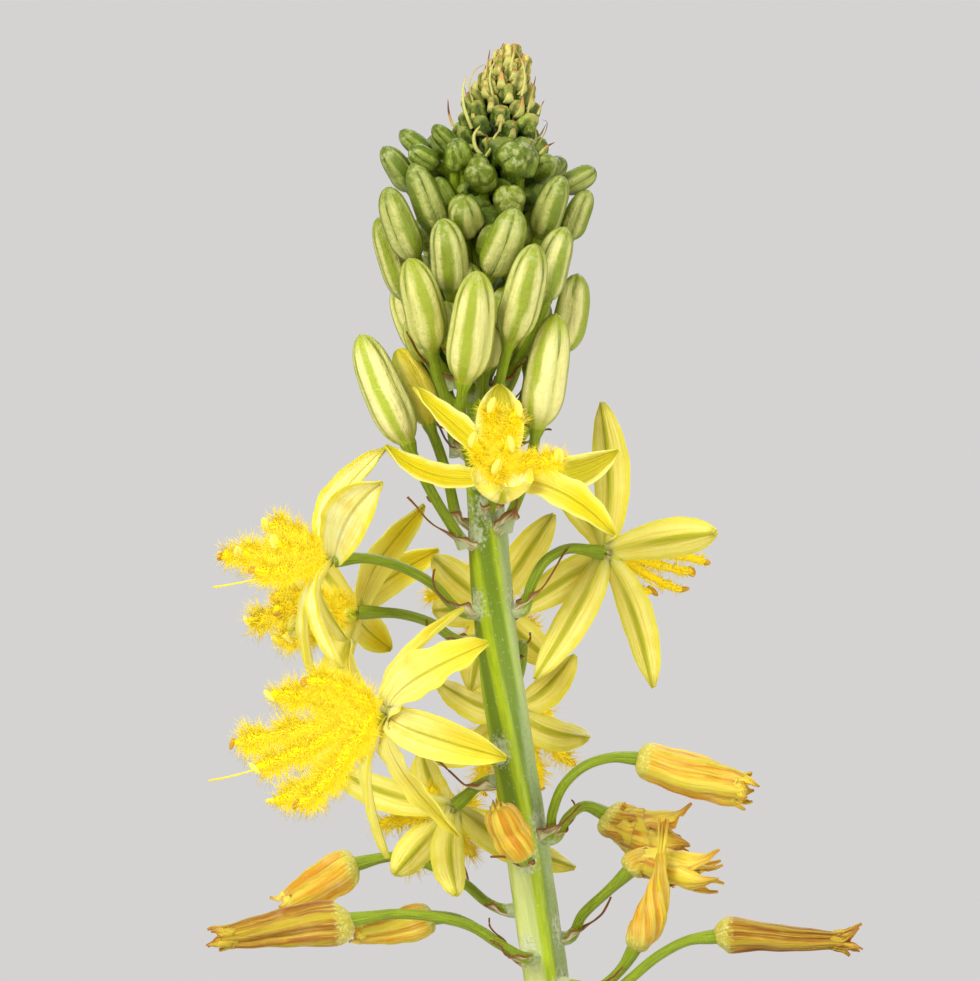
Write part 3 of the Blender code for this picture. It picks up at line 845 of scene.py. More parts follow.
def unit(vectors):
    """Vectors of length one."""
    return vectors / np.maximum(np.linalg.norm(vectors, axis=-1, keepdims=True), 1e-12)


def heading(line):
    """The way a line runs at each of its points."""
    return unit(np.gradient(line, axis=0))


def cubic(t, *spots):
    """The points of a Bezier curve."""
    a, b, c, d = (np.array(spot) for spot in spots)
    return (1 - t) ** 3 * a + 3 * t * (1 - t) ** 2 * b + 3 * t**2 * (1 - t) * c + t**3 * d


def strap_faces(rows):
    """The faces of a closed strap with a number of rows."""
    faces = []
    for row in range(0, (rows - 1) * LOOP, LOOP):
        for j in range(LOOP):
            k = (j + 1) % LOOP
            faces.append((row + j, row + k, row + LOOP + k, row + LOOP + j))
    for first, turn in ((0, 1), ((rows - 1) * LOOP, -1)):
        for j in range(COLUMNS - 1):
            quad = (j, LOOP - 1 - j, LOOP - 2 - j, j + 1)
            faces.append(tuple(first + corner for corner in quad[::turn]))
    return faces


print("faces of a strap of ten rows:", len(strap_faces(10)))


# %% Draw one strap
def strap(line, inward, half, fold, thick, keel=0.0, ruffle=0.0, wave=0.0, tone=0.0):
    """A closed strap: its corners, and the values for its material.

    line, inward: the middle line and the way the inner face looks, one row each. half: half the
    width. fold: the angle of the section's arc. thick: the thickness. keel: how far the midrib
    stands out. ruffle: how far the rims ripple, as a share of the width, with wave as its phase.
    """
    forward = heading(line)
    inward = unit(inward - forward * (inward * forward).sum(1, keepdims=True))[:, None]
    side = np.cross(forward, inward[:, 0])[:, None]
    across, along = np.linspace(-1, 1, COLUMNS), np.linspace(0, 1, len(line))[:, None]
    half, fold = (np.broadcast_to(value, len(line))[:, None] for value in (half, fold))
    fold = np.where(np.abs(fold) < 1e-3, 1e-3, fold)
    bend, arc = across * fold, half / fold
    ripple = np.sin(along * 17 + wave) * np.sign(across) + np.sin(along * 31 + 2 * wave)
    rise = arc * (1 - np.cos(bend)) + ruffle * half * ripple * across**2
    inner = line[:, None] + side * (arc * np.sin(bend))[..., None] + inward * rise[..., None]
    normal = inward * np.cos(bend)[..., None] - side * np.sin(bend)[..., None]
    depth = thick * (0.35 + 0.65 * (1 - across**2)) + keel * np.exp(-((across / 0.16) ** 2))
    outer = inner - normal * (depth * np.sin(np.clip(along * 9, 0.25, 1.57)))[..., None]
    corners = np.concatenate([inner, outer[:, ::-1]], axis=1)
    spread = np.concatenate([across, across[::-1]])
    back = np.repeat([0.0, 1.0], COLUMNS)
    values = np.stack(np.broadcast_arrays(spread, along, back), axis=-1)
    return corners.reshape(-1, 3), values.reshape(-1, 3), np.full(len(line) * LOOP, tone)


print("a strap's section has", LOOP, "points")


# %% Make a piece of straps
def solid_piece(name, corners, faces, material, sharp):
    """A piece from corners and faces."""
    mesh = bpy.data.meshes.new(name)
    mesh.from_pydata(corners, [], faces)
    mesh.materials.append(material)
    finish_surface(mesh, sharp)
    return add_piece(name, mesh)


def strap_piece(name, slot, nodes, material, straps):
    """Several straps as one dressed piece."""
    faces, first = [], 0
    for corners, _, _ in straps:
        made = strap_faces(len(corners) // LOOP)
        faces += [tuple(first + corner for corner in face) for face in made]
        first += len(corners)
    corners, values, tones = zip(*straps)
    piece = solid_piece(name, np.vstack(corners).tolist(), faces, material, STRAP_CREASE)
    carry(piece.data, "strap", np.vstack(values))
    carry(piece.data, "tone", np.concatenate(tones))
    dress(piece, slot, *nodes)


# %% [markdown]
# ## Petal yellow
#
# The back of a petal is a pale creamy yellow with one green stripe along its keel. The inner face
# is a deeper yellow. Fine veins run lengthwise, the rims are paler, and the tip and the foot turn
# green. Light glows through so thin a leaf, so much of it goes into the surface.


# %% The petal's material
def strap_values():
    """A strap's across, along, outer and tone, and how far from the keel a spot lies."""
    across, along, outer = parts(carried("strap", "Vector"))
    return across, along, outer, carried("tone"), maths("ABSOLUTE", across)


@plant_material
def petal_skin():
    """Two-faced yellow with a green midrib stripe, veins and pale rims; a tone below 0 paints the
    inner face olive as shade.
    """
    across, along, outer, tone, lateral = strap_values()
    veins = grain(place_of(across * 9.0, along * 1.6, tone), 1.0)
    cloud = grain(on_object(), 700.0)
    vein, outside = band(veins, 0.35, 0.7), band(outer, 0.35, 0.65)
    bright = blended(vein, (228, 210, 20), (212, 194, 8))
    pale = blended(vein, (252, 243, 178), (243, 230, 118))
    pale = blended(band(along, 0.3, 0.85) * (1.65 - 1.2 * tone), pale, (234, 214, 44))
    # Painted shade: an olive copy of the inner yellow, for petals whose tone is below 0.
    shaded = blended(vein, (196, 182, 26), (160, 156, 14))
    rim = band(lateral + cloud * 0.4 - 0.2, 0.54, 0.98) * 0.85
    edge = blended(tone, (255, 244, 140), (232, 206, 10))
    wide = (outside * 0.1 + 0.05) * (veins * 0.8 + 0.6)
    fade = band(along, 0.0, 0.5) * 0.25 + 0.75
    stripe = band(lateral / wide, 1.7, 0.4) * (outside * 0.25 + 0.6) * fade
    ends = larger(band(along, 0.9, 1.0) * 0.6, band(along, 0.1, 0.0) * 0.1)
    colour = layered(
        blended(band(tone, 0.0, -0.6), blended(tone, bright, pale), shaded),
        (outside, blended(vein, (246, 231, 134), (230, 214, 82))),
        (band(cloud, 0.42, 0.74) * 0.4, blended(outside, (222, 190, 12), (230, 206, 70))),
        (rim, blended(outside, edge, (226, 208, 56))),
        (stripe, blended(vein, (196, 192, 10), (168, 172, 6))),
        (ends, (176, 172, 14)),
    )
    return colour, cloud * 0.25 + 0.38, veins + stripe, 0.13, 0.75


# %% [markdown]
# ## The open flowers
#
# Six petals spread from each flower's middle. A petal rises a little with the flower's direction,
# arches over and comes down to its tip, so its middle line is a cubic with the solid's tip at its
# end. No two petals sit alike: some are twisted sideways, some fold into a gutter, some hook at
# the tip. Those manners are given petal by petal, in the same turning order as the tips.

# %% Petal manners
PETAL_ROWS, PETAL_THICK, PETAL_KEEL = 46, 0.2 * MM, 0.07 * MM
PLAIN = dict(rise=2.4, fall=1.2, twist=0.0, roll=0.0, fold=0.6, width=1.15, hook=0.0, ruffle=0.04)
# How pale the inner faces are.
PALE = {"flower_1": 0.15, "flower_2": 1.1, "flower_3": 0.3, "flower_4": 0.75}
# A tone below 0 paints that petal's inner face in olive painted shade.
MANNERS = {
    "flower_1": {
        0: dict(twist=0.5, fold=0.9, width=1.05, rise=2.0, fall=0.4, tone=-0.15, sag=0.5),
        1: dict(rise=0.6, fall=-0.6, fold=0.7, twist=0.2, width=1.05, tone=-0.05, sag=1.3),
        2: dict(rise=1.2, fall=-1.2, hook=0.9, fold=1.7, width=2.3, tone=0.9),
        3: dict(rise=1.8, fall=2.0, fold=0.6, width=1.25, tone=0.25, ruffle=0.07),
        4: dict(roll=0.5, fold=0.7, rise=0.4, fall=-0.6, tone=-0.5, sag=1.0),
        5: dict(width=1.5, rise=0.6, fall=0.0, tone=-0.75),
    },
    "flower_2": {
        0: dict(fold=0.9, width=1.3, roll=0.7),
        3: dict(width=0.9, fold=1.2),
        4: dict(width=0.85, fold=1.5),
        5: dict(width=1.6, roll=0.9, fold=0.7, rise=0.6),
    },
    "flower_3": {number: dict(roll=math.pi) for number in (0, 1, 2)},
    "flower_4": {
        1: dict(width=0.75, fold=1.5, twist=0.8),
        2: dict(width=1.0, ruffle=0.1),
        3: dict(width=1.4),
        4: dict(width=1.55, ruffle=0.12),
        5: dict(width=0.8, fold=1.3),
    },
    "flower_5": {0: dict(width=1.25), 1: dict(width=1.3, fold=0.8)},
}


print("petals with manners of their own:", sum(map(len, MANNERS.values())))


# %% Open the flowers
def petal_line(middle, facing, tip, manner):
    """The middle line of a petal and the way its inner face looks."""
    reach = tip - middle
    start = middle + reach.normalized() * 0.12 * MM
    sag = UP * -manner.get("sag", 0.0) * MM
    first = start + reach * 0.33 + facing * manner["rise"] * MM + sag
    second = tip - reach * 0.33 + facing * manner["fall"] * MM + sag
    t = np.linspace(0, 1, PETAL_ROWS)[:, None]
    line = cubic(t, start, first, second, tip)
    forward = heading(line)
    side = unit(np.cross(forward, np.array(facing)))
    turn = manner["roll"] + manner["twist"] * t**1.3
    inward = np.cross(side, forward) * np.cos(turn) + side * np.sin(turn)
    hook = np.clip((t - 0.65) / 0.35, 0, 1) ** 2 * manner["hook"] * MM
    return line + inward * hook, inward


def petal_half(share, width):
    """Half a petal's width along it: narrow foot, full middle, blunt tip."""
    body = 0.42 + 0.58 * np.sin(np.clip(share / 0.5, 0, 1) * math.pi / 2)
    tip = np.clip(1 - np.clip((share - 0.5) / 0.5, 0, 1) ** 2.2, 0, 1) ** 0.72
    return width * MM * body * np.maximum(tip, 0.1)


def hash_of(name):
    """A steady number for a name, for variety that never changes."""
    return sum(ord(letter) * (place + 3) for place, letter in enumerate(name)) % 97


def petals(name):
    """The six petals of a flower."""
    middle, facing, _, tips, _ = flowers[name]
    made, share = [], np.linspace(0, 1, PETAL_ROWS)
    for number, tip in enumerate(tips):
        manner = PLAIN | MANNERS.get(name, {}).get(number, {})
        wave = number * 2.7 + hash_of(name)
        tone = manner.get("tone", PALE.get(name, 0.4) + 0.15 * math.sin(wave * 2.3))
        fold = manner["fold"] * (1 - 0.35 * np.sin(share * math.pi))
        hood = 3.6 * np.clip(share - 0.85, 0, 1)
        shape = petal_half(share, manner["width"]), fold + hood, PETAL_THICK, PETAL_KEEL
        line = petal_line(middle, facing, tip, manner)
        made.append(strap(*line, *shape, manner["ruffle"], wave, tone))
    return made


for name in flowers:
    strap_piece("petals_" + name[-1], "tepal_yellow", [name], petal_skin, petals(name))

# %% [markdown]
# ## The flower stalks
#
# Each open or withered flower hangs on an arched stalk of the same green skin as the bud stalks.
# The stalk swells where it leaves the stem and again where it carries the flower, so both joints
# look grown and not glued.

# %% Grow the flower stalks
def stalk_line(rows, end):
    """A stalk from its rings to a last point, with both ends swollen."""
    inside = Vector(rows[0, :3])
    inside = inside.lerp(nearest_stem(inside), 0.45)
    line = smooth_rows(np.vstack([[*inside, STALK], rows[:, :4], [*end, STALK]]), STALK_STEP)
    length = lengths_along(line[:, :3])
    near = np.exp(-((length / (1.0 * MM)) ** 2))
    far = np.exp(-(((length[-1] - length) / (1.1 * MM)) ** 2))
    return {
        "points": line[:, :3],
        "radius": STALK * (0.88 + 0.5 * near + 0.4 * far),
        "station": length / MM,
        "share": -0.05,
        "ribbing": 0.03,
        "ripe": 0.8,
    }


def withered_rows(name):
    """A withered flower's rings before and after the place where its stalk widens."""
    rows = faded_rows[name]
    joint = int(np.argmax(rows[:, 3] > STALK * 1.2))
    return rows[:joint], rows[joint:]


stalk_lines = [stalk_line(f[2], f[0] - f[1] * 0.12 * MM) for f in flowers.values()]
for stalk, rows in map(withered_rows, faded_rows):
    stalk_lines.append(stalk_line(stalk, rows[0, :3] * 0.7 + rows[1, :3] * 0.3))
hung = [*flowers, *faded_rows]
sizes = {"Sides": 24, "Ribs": 4, "Material": bud_skin}
grow("flower_stalks", "stem_green", hung, ribbed_sweep, stalk_lines, **sizes)

# %% [markdown]
# ## The bearded filaments
#
# What makes a bulbine flower fluffy is its stamens: each filament is crowded with soft yellow
# hairs. A second Geometry Nodes tree grows them. It sweeps a core along each filament, thick with
# the hairs' matted feet, scatters points over it where the line says that it is bushy, and stands
# a slender bent cone on every point, leaning a little towards the filament's tip. A cone has three
# sides, since there are thousands of them.


# %% The beard tree
def random_between(low, high, seed):
    """A random number for each point."""
    sockets = {2: low, 3: high, "Seed": seed}
    return node("FunctionNodeRandomValue", sockets, 1, data_type="FLOAT")


def aligned(axis, sockets, **more):
    """A rotation that turns an axis towards a vector."""
    return node("FunctionNodeAlignRotationToVector", sockets, axis=axis, **more)


SCATTER = 0.62  # how far hairs lean at random


@growth_rule(Length="Float", Width="Float", Density="Float", Lean="Float", Seed="Int")
def beard(given):
    """Grow filament lines that carry radius, bush and forward into bearded threads."""
    core, bush = swept(given["Geometry"], 10, field("radius")), field("bush")
    sockets = {"Vertices": 3, "Side Segments": 2, "Radius Bottom": 1.0, "Radius Top": 0.0}
    height = parts(position())[2]
    cone = keep(node("GeometryNodeMeshCone", sockets | {"Depth": 1.0}), hair=height)
    cone = moved(cone, place_of(height * height * 7.0, 0.0, 0.0))
    sockets = {"Mesh": core, "Density": given["Density"] * bush, "Seed": given["Seed"]}
    spots = node("GeometryNodeDistributePointsOnFaces", sockets)
    sockets = {0: (-SCATTER,) * 3, 1: (SCATTER,) * 3, "Seed": given["Seed"]}
    scatter = node("FunctionNodeRandomValue", sockets, data_type="FLOAT_VECTOR")
    aim = spots["Normal"] + scatter + field("forward", "FLOAT_VECTOR") * given["Lean"]
    spin = place_of(0.0, 0.0, random_between(0.0, 1.0, 3) * math.tau)
    spin = node("FunctionNodeEulerToRotation", {0: spin})
    sockets = {"Rotation": aligned("Z", {"Vector": aim}), "Rotate By": spin}
    aimed = node("FunctionNodeRotateRotation", sockets, rotation_space="LOCAL")
    tall = given["Length"] * random_between(0.5, 1.3, 8) * (bush * 0.5 + 0.5)
    hairs = standing(spots, cone, aimed, given["Width"], given["Width"], tall)
    return joined(core, realized(hairs))


@plant_material
def hair_skin():
    """Saturated yellow that is palest at the hairs' tips."""
    cloud = grain(on_object(), 900.0, 2.0)
    colour = blended(band(carried("hair"), 0.0, 1.0), (252, 218, 6), (255, 234, 60))
    return blended(cloud * 0.4, colour, (250, 206, 2)), cloud * 0.2 + 0.45, cloud, 0.01, 0.0, 0.15


# %% Lead the filaments
FILAMENT_ROWS = 34
TUFTS = {  # six filaments' ends and then the style's, from the flower's middle, in mm
    "flower_1": [
        (1, -4.2, 2.3), (3.3, -3.4, 1.1), (-0.5, -3.3, 4), (1.5, -3.1, 4.2), (-1.9, -3.5, 2.6),
        (-0.2, -4.6, 0.6), (0.2, -4.7, 0.4),
    ],
    "flower_2": [
        (-6, -1.5, 0.6), (-6.6, 0.3, -0.1), (-4.4, 0.8, 2), (-5.1, -2.2, -0.3), (-3.2, -2.5, 1.4),
        (-3.6, -1.8, -0.8), (-7.5, -0.8, -1.6),
    ],
    "flower_3": [
        (-7.2, 1.5, -0.8), (-5.7, -1.5, 0.6), (-4.2, -2, -1.6), (-3.8, -2.2, 0.4),
        (-5.6, -0.5, -1.8), (-4.8, -3, -0.4), (-4.5, -1.5, -1),
    ],
    "flower_4": [
        (-6.9, -1.5, 0.9), (-9.3, 0.5, -2), (-7.4, -1.5, -5), (-5.2, -2.5, -5.1),
        (-7.8, -3.2, -3.4), (-5.3, -2, 1.8), (-11.1, 0, -3.8),
    ],
    "flower_5": [
        (6.1, 2.5, -1), (5, 3, -2.3), (3.4, 3.5, -2.1), (5.2, 3.5, -1.2), (2.5, 4.5, -1),
        (3, 5, 1), (4, 3.5, -1.8),
    ],
}


def tuft_ends(name):
    """Where a flower's filaments and its style end: the style comes last."""
    middle, _, _, _, ends = flowers[name]
    return [middle + Vector(end) * MM for end in TUFTS[name]] if name in TUFTS else ends


def filament_lines(name):
    """The six filaments of a flower, each bowed outwards on its way to its end."""
    middle, facing = flowers[name][:2]
    root, t = middle + facing * (OVARY_FOOT * 1.2), np.linspace(0, 1, FILAMENT_ROWS)[:, None]
    made = []
    for number, end in enumerate(tuft_ends(name)[:-1]):
        wave = hash_of(name) + number * 2.1
        sway = Vector((math.sin(wave), math.cos(wave * 1.3), math.sin(wave * 0.7 + 1))) * 0.9 * MM
        outward = (end - root) - facing * (end - root).dot(facing)
        crest = root.lerp(end, 0.5) + outward * 0.35 + sway
        a, b, c = (np.array(spot) for spot in (root, crest, end + sway * 0.4))
        made.append((1 - t) ** 2 * a + 2 * t * (1 - t) * b + t**2 * c)
    return made


filaments_of = {name: filament_lines(name) for name in flowers}
print("filaments:", sum(map(len, filaments_of.values())))

# %% Grow the beards
HAIR_LENGTH, HAIR_WIDTH = 1.25 * MM, 0.04 * MM
HAIR_DENSITY = 6.0e7  # hairs in a square metre of the filament's own surface
FELT = 0.42 * MM  # how much the matted feet of the hairs thicken a filament
BUSHY = {  # hair density and hair length of each tuft, beside the usual
    "flower_1": (1.3, 0.75),
    "flower_2": (1.1, 0.95),
    "flower_3": (1.1, 0.95),
    "flower_4": (1.2, 1.0),
    "flower_5": (0.6, 0.35),
}


def bearded(line, name):
    """A filament's line with what the beard tree reads."""
    share, (x, _, z), (far_x, _, far_z) = np.linspace(0, 1, len(line)), line[0] / MM, line[-1] / MM
    bush = np.clip(np.minimum((share + 0.06) / 0.16, (1.0 - share) / 0.16), 0, 1)
    bush = bush * (0.75 + 0.25 * np.sin(share * 21 + x * 3 + far_z * 5))
    knots = 1 + 0.22 * np.sin(share * 37 + z) * np.sin(share * 59 + far_x)
    felt = FELT * bush**0.7 * knots * BUSHY.get(name, (0, 0.6))[1]
    radius = (0.2 - 0.1 * share) * MM + felt
    return {"points": line, "radius": radius, "bush": bush, "forward": heading(line)}


for name, lines in filaments_of.items():
    dense, long = BUSHY.get(name, (0.5, 0.9))
    fluffy = grow(
        "beard_" + name[-1], "stamen_yellow", [name + "_stamens"], beard,
        [bearded(line, name) for line in lines], Length=HAIR_LENGTH * long, Width=HAIR_WIDTH,
        Density=HAIR_DENSITY * dense, Lean=0.45, Seed=hash_of(name), Material=hair_skin,
    )
    fluffy.visible_shadow = fluffy.visible_diffuse = False

# %% [markdown]
# ## Anthers, ovaries and styles
#
# Each filament ends in an anther of two lobes, cream when fresh and orange-brown once its pollen
# is gone. In the middle sit a green three-lobed ovary and the bent thread of its style. All three
# are grown by the ribbed sweep with two or three ribs.


# %% Materials of a flower's heart
@plant_material
def anther_skin():
    """Cream pollen lobes that turn orange-brown when spent, with grainy pollen."""
    dust = grain(on_object(), 9000.0, 2.0)
    fresh = blended(band(carried("rib"), 0.5, 1.0), (255, 232, 100), (250, 212, 50))
    old = blended(dust, (176, 122, 24), (222, 172, 50))
    return blended(carried("spent"), fresh, old), dust * 0.2 + 0.6, dust, 0.03, 0.2


@plant_material
def heart_skin():
    """Olive green ovary that runs out into a yellow style with an orange tip."""
    share, cloud = carried("share"), grain(on_object(), 3000.0, 2.0)
    green = blended(band(carried("rib"), 0.3, 1.0), (206, 204, 50), (160, 168, 24))
    style = blended(band(share, 0.85, 1.0), (252, 220, 60), (250, 206, 50))
    colour = blended(band(share, 0.2, 0.3), green, style)
    return colour, cloud * 0.2 + 0.35, cloud, 0.02, 0.3


# %% Grow the hearts
ANTHER_LENGTH, ANTHER_RADIUS = 0.95 * MM, 0.23 * MM
OVARY_LENGTH, OVARY_RADIUS = 1.7 * MM, 0.48 * MM
STYLE_RADIUS = 0.06 * MM
SPENT = {"flower_1": 0.0, "flower_5": 1.1}  # how many anthers are spent, as a share


def anther_line(name, number, line):
    """An anther set across its filament's end."""
    wave = hash_of(name) * 0.37 + number * 1.9
    spent = float((math.sin(wave * 5.1) + 1) / 2 < SPENT.get(name, 0.4))
    young = name == "flower_1"
    size = 1.15 if young else 1.0 - 0.2 * spent * (name != "flower_5")
    forward = unit(line[-1] - line[-3])
    lean = np.array([math.sin(wave), math.cos(wave * 1.7), math.sin(wave * 2.3)])
    across = unit(np.cross(forward, lean)) * 0.8 + forward * 0.45 + np.array([0.1, 0, 2.0 * young])
    share = (1 - np.cos(np.linspace(0, math.pi, 15))) / 2
    radius = ANTHER_RADIUS * size * np.maximum(np.sin(share * math.pi), 0) ** 0.55 + 0.01 * MM
    points = line[-1] + unit(across) * (share - 0.5)[:, None] * ANTHER_LENGTH * size
    return {"points": points, "radius": radius, "station": share, "ribbing": 0.22, "spent": spent}


def heart_line(name):
    """The ovary and style of a flower in one line."""
    middle, facing = flowers[name][:2]
    wave, start = hash_of(name), middle + facing * 0.1 * MM
    way = tuft_ends(name)[-1] - start
    side = facing.cross(Vector((math.sin(wave), 0.3, math.cos(wave)))).normalized()
    share = np.linspace(0, 1, 40)
    points = np.array(start) + share[:, None] * np.array(way)
    points += np.array(side) * (share**2 * (1.1 - share))[:, None] * 4.5 * MM
    ovary = np.clip(share * way.length / OVARY_LENGTH, 0, 1)
    radius = np.maximum(OVARY_RADIUS * np.sin(ovary * math.pi) ** 0.7, STYLE_RADIUS)
    radius[-2:] *= (1.25, 0.5)
    return {
        "points": points,
        "radius": radius,
        "station": share * way.length / MM,
        "share": share,
        "ribbing": np.where(ovary < 1, 0.12, 0.0),
    }


anther_lines = [
    anther_line(name, number, line)
    for name, lines in filaments_of.items()
    for number, line in enumerate(lines)
]
heart_lines = [heart_line(name) for name in flowers]
for name, lines, sides, ribs, skin in (
    ("anthers", anther_lines, 16, 2, anther_skin),
    ("hearts", heart_lines, 18, 3, heart_skin),
):
    grow(name, "stamen_yellow", [], ribbed_sweep, lines, Sides=sides, Ribs=ribs, Material=skin)

# %% [markdown]
# ## The crowded tip
#
# Above the buds the spike ends in a cone of tiny ones, each behind an awl-shaped papery bract.
# They stand in a spiral: every next one is turned by the golden angle, which is how the plant
# packs them without rows. A third Geometry Nodes tree follows the rule. It places points round a
# line that carries the cone's girth, from the tip down, and puts a small ribbed bud and a bent
# bract on each; both grow and tip outwards on the way down.


# %% The spiral tree
def tip_bud():
    """One tiny blunt three-lobed bud, standing on its foot, with its height stored."""
    ball = node("GeometryNodeMeshUVSphere", {"Segments": 24, "Rings": 11, "Radius": 0.5})
    ball = node("GeometryNodeTransform", {"Geometry": ball, "Translation": (0, 0, 0.5)})
    x, y, z = parts(position())
    valley = 0.5 - 0.5 * cosine(maths("ARCTAN2", y, x) * 3.0)
    latitude = z * 2.0 - 1.0
    lump = grain(position(), 4.0, 2.0) * 0.7 - 0.35
    swell = valley**4.0 * -0.3 + latitude * latitude * 0.45 + lump
    ball = moved(ball, place_of(x, y, 0.0) * swell)
    return keep(ball, rib=valley, level=z, papery=0.0)


def tip_bract():
    """One flattened awl that bends back over the bud beside it."""
    sockets = {"Vertices": 8, "Side Segments": 7, "Radius Bottom": 0.5, "Radius Top": 0.03}
    x, _, z = parts(position())
    move = place_of(sine(z * 4.2) * 0.32 - 0.6 * x, 0.0, 0.0)
    cone = moved(node("GeometryNodeMeshCone", sockets | {"Depth": 1.0}), move)
    return keep(cone, rib=0.0, level=z, papery=1.0)


@growth_rule(**{"Count": "Int", "Bud Length": "Float", "Bract Length": "Float", "Seed": "Int"})
def spiral_tip(given):
    """Set buds and bracts in a spiral round a line that carries the cone's girth."""
    curve = node("GeometryNodeMeshToCurve", {"Mesh": given["Geometry"]})
    points = node("GeometryNodePoints", {"Count": given["Count"]})
    index = node("GeometryNodeInputIndex")
    down = index / given["Count"]
    sockets = {"Curves": curve, "Value": field("girth"), "Factor": 1.0 - down**1.05}
    kind = dict(mode="FACTOR", use_all_curves=True)
    spot = node("GeometryNodeSampleCurve", sockets, "Position", **kind)
    angle = index * GOLDEN_ANGLE
    outward = place_of(cosine(angle), sine(angle), 0.0)
    sockets = {"Geometry": points, "Position": spot + outward * spot["Value"]}
    points = node("GeometryNodeSetPosition", sockets)
    points = keep(points, down=down, tint=random_between(0.0, 1.0, 21))
    rising = place_of(0.0, 0.0, 1.0 - 0.35 * down)
    sway = place_of(*(random_between(-0.34, 0.34, seed) for seed in (11, 12, 13)))
    aim = outward * (down + 0.12) + rising + sway
    sockets = {"Rotation": aligned("X", {"Vector": outward}), "Vector": aim}
    aimed = aligned("Z", sockets, pivot_axis="Y")
    length = given["Bud Length"] * (down * 0.3 + 0.75) * random_between(0.66, 1.3, given["Seed"])
    girth = length * (down * 0.42 + 0.6)
    broad = girth * random_between(0.8, 1.25, 16)
    buds = standing(points, tip_bud(), aimed, girth, broad, length)
    length = given["Bract Length"] * (down * 0.1 + 0.78) * random_between(0.6, 1.05, 5)
    wide = given["Bract Length"] * (0.46 - 0.22 * down)
    outer = moved(points, outward * (girth * 0.36))
    bracts = standing(outer, tip_bract(), aimed, wide, wide, length)
    core = swept(given["Geometry"], 16, field("girth") * 0.9)
    return joined(buds, bracts, keep(core, down=0.6))


# %% The tip's material
@plant_material
def tip_skin():
    """Straw cream at the very tip and green further down, with painted shade in the tiny buds'
    grooves, round their feet and on the core; the bracts end in brown.
    """
    names = ("rib", "level", "papery", "down", "tint")
    rib, level, papery, down, tint = (carried(name) for name in names)
    mottle, grit = grain(on_object(), 2600.0, 5.0, 0.65), grain(on_object(), 7000.0)
    patch = mottle + tint * 0.22 - 0.11
    young = blended(band(patch, 0.4, 0.6), (212, 200, 108), (142, 144, 36))
    older = blended(band(patch, 0.44, 0.66), (74, 96, 10), (154, 168, 66))
    top = blended(band(down, 0.1, 0.5), (190, 124, 56), (166, 170, 78))
    top = blended(band(down, 0.55, 0.75), top, (96, 118, 22))
    bud = layered(
        blended(band(tint * 0.2 + down, 0.16, 0.5), young, older),
        # Painted shade: dark green in the grooves between each tiny bud's lobes and round its
        # foot, and so on the core between them.
        (band(rib, 0.45, 1.0) * 0.65, (58, 76, 8)),
        (band(level, 0.55, 0.1) * 0.85, (44, 60, 6)),
        (band(grit, 0.58, 0.72) * 0.18, (214, 212, 150)),
        (band(level, 0.8, 1.0) * (tint * 0.6 + 0.3), top),
    )
    awl = blended(band(level, 0.4, 0.75), (196, 194, 104), (192, 144, 74))
    awl = blended(band(down, 0.75, 0.3), blended(0.85, awl, (88, 102, 24)), awl)
    awl = blended(band(level, 0.8, 0.97), awl, (104, 60, 40))
    colour = blended(papery, bud, awl)
    return colour, mottle * 0.25 + 0.36, grit * 0.3 + mottle, 0.1, 0.2, 0.4


# %% Grow the tip
TIP_FOOT = 4.6 * MM  # how far the spiral starts below the solid cone
TIP_SHORT = 1.3 * MM  # how far below the cone's point the line ends
GIRTH = [1.5, 1.6, 1.7, 1.75, 1.65, 1.35, 0.95, 0.3]  # from the foot to the tip
tip_rows = rings("raceme_tip", on_floor)
low = stem_at(tip_rows[0, 2] - TIP_FOOT)[0]
spots = np.vstack([[*low], tip_rows[:, :3]])
heights = np.linspace(0, 1, len(GIRTH))
along = low.z + (tip_rows[-1, 2] - TIP_SHORT - low.z) * heights
across, girths = np.interp(along, spots[:, 2], spots[:, 0]), np.array(GIRTH) * MM
axis = smooth_rows(np.stack([across, along * 0, along, girths], axis=1), STALK_STEP)
tip_line = {"points": axis[:, :3], "girth": np.maximum(axis[:, 3], 0.05 * MM)}
sizes = {"Bud Length": 1.75 * MM, "Bract Length": 1.9 * MM, "Count": 96, "Seed": 4}
sizes["Material"] = tip_skin
grow("raceme_crown", "tip_cream", ["raceme_tip"], spiral_tip, [tip_line], **sizes)

# %% [markdown]
# The longest bracts of the tip are set one by one, because they break its outline: pale straps
# that clasp the cone on the left, brown awls on both sides, and a pair of cream prongs in front.

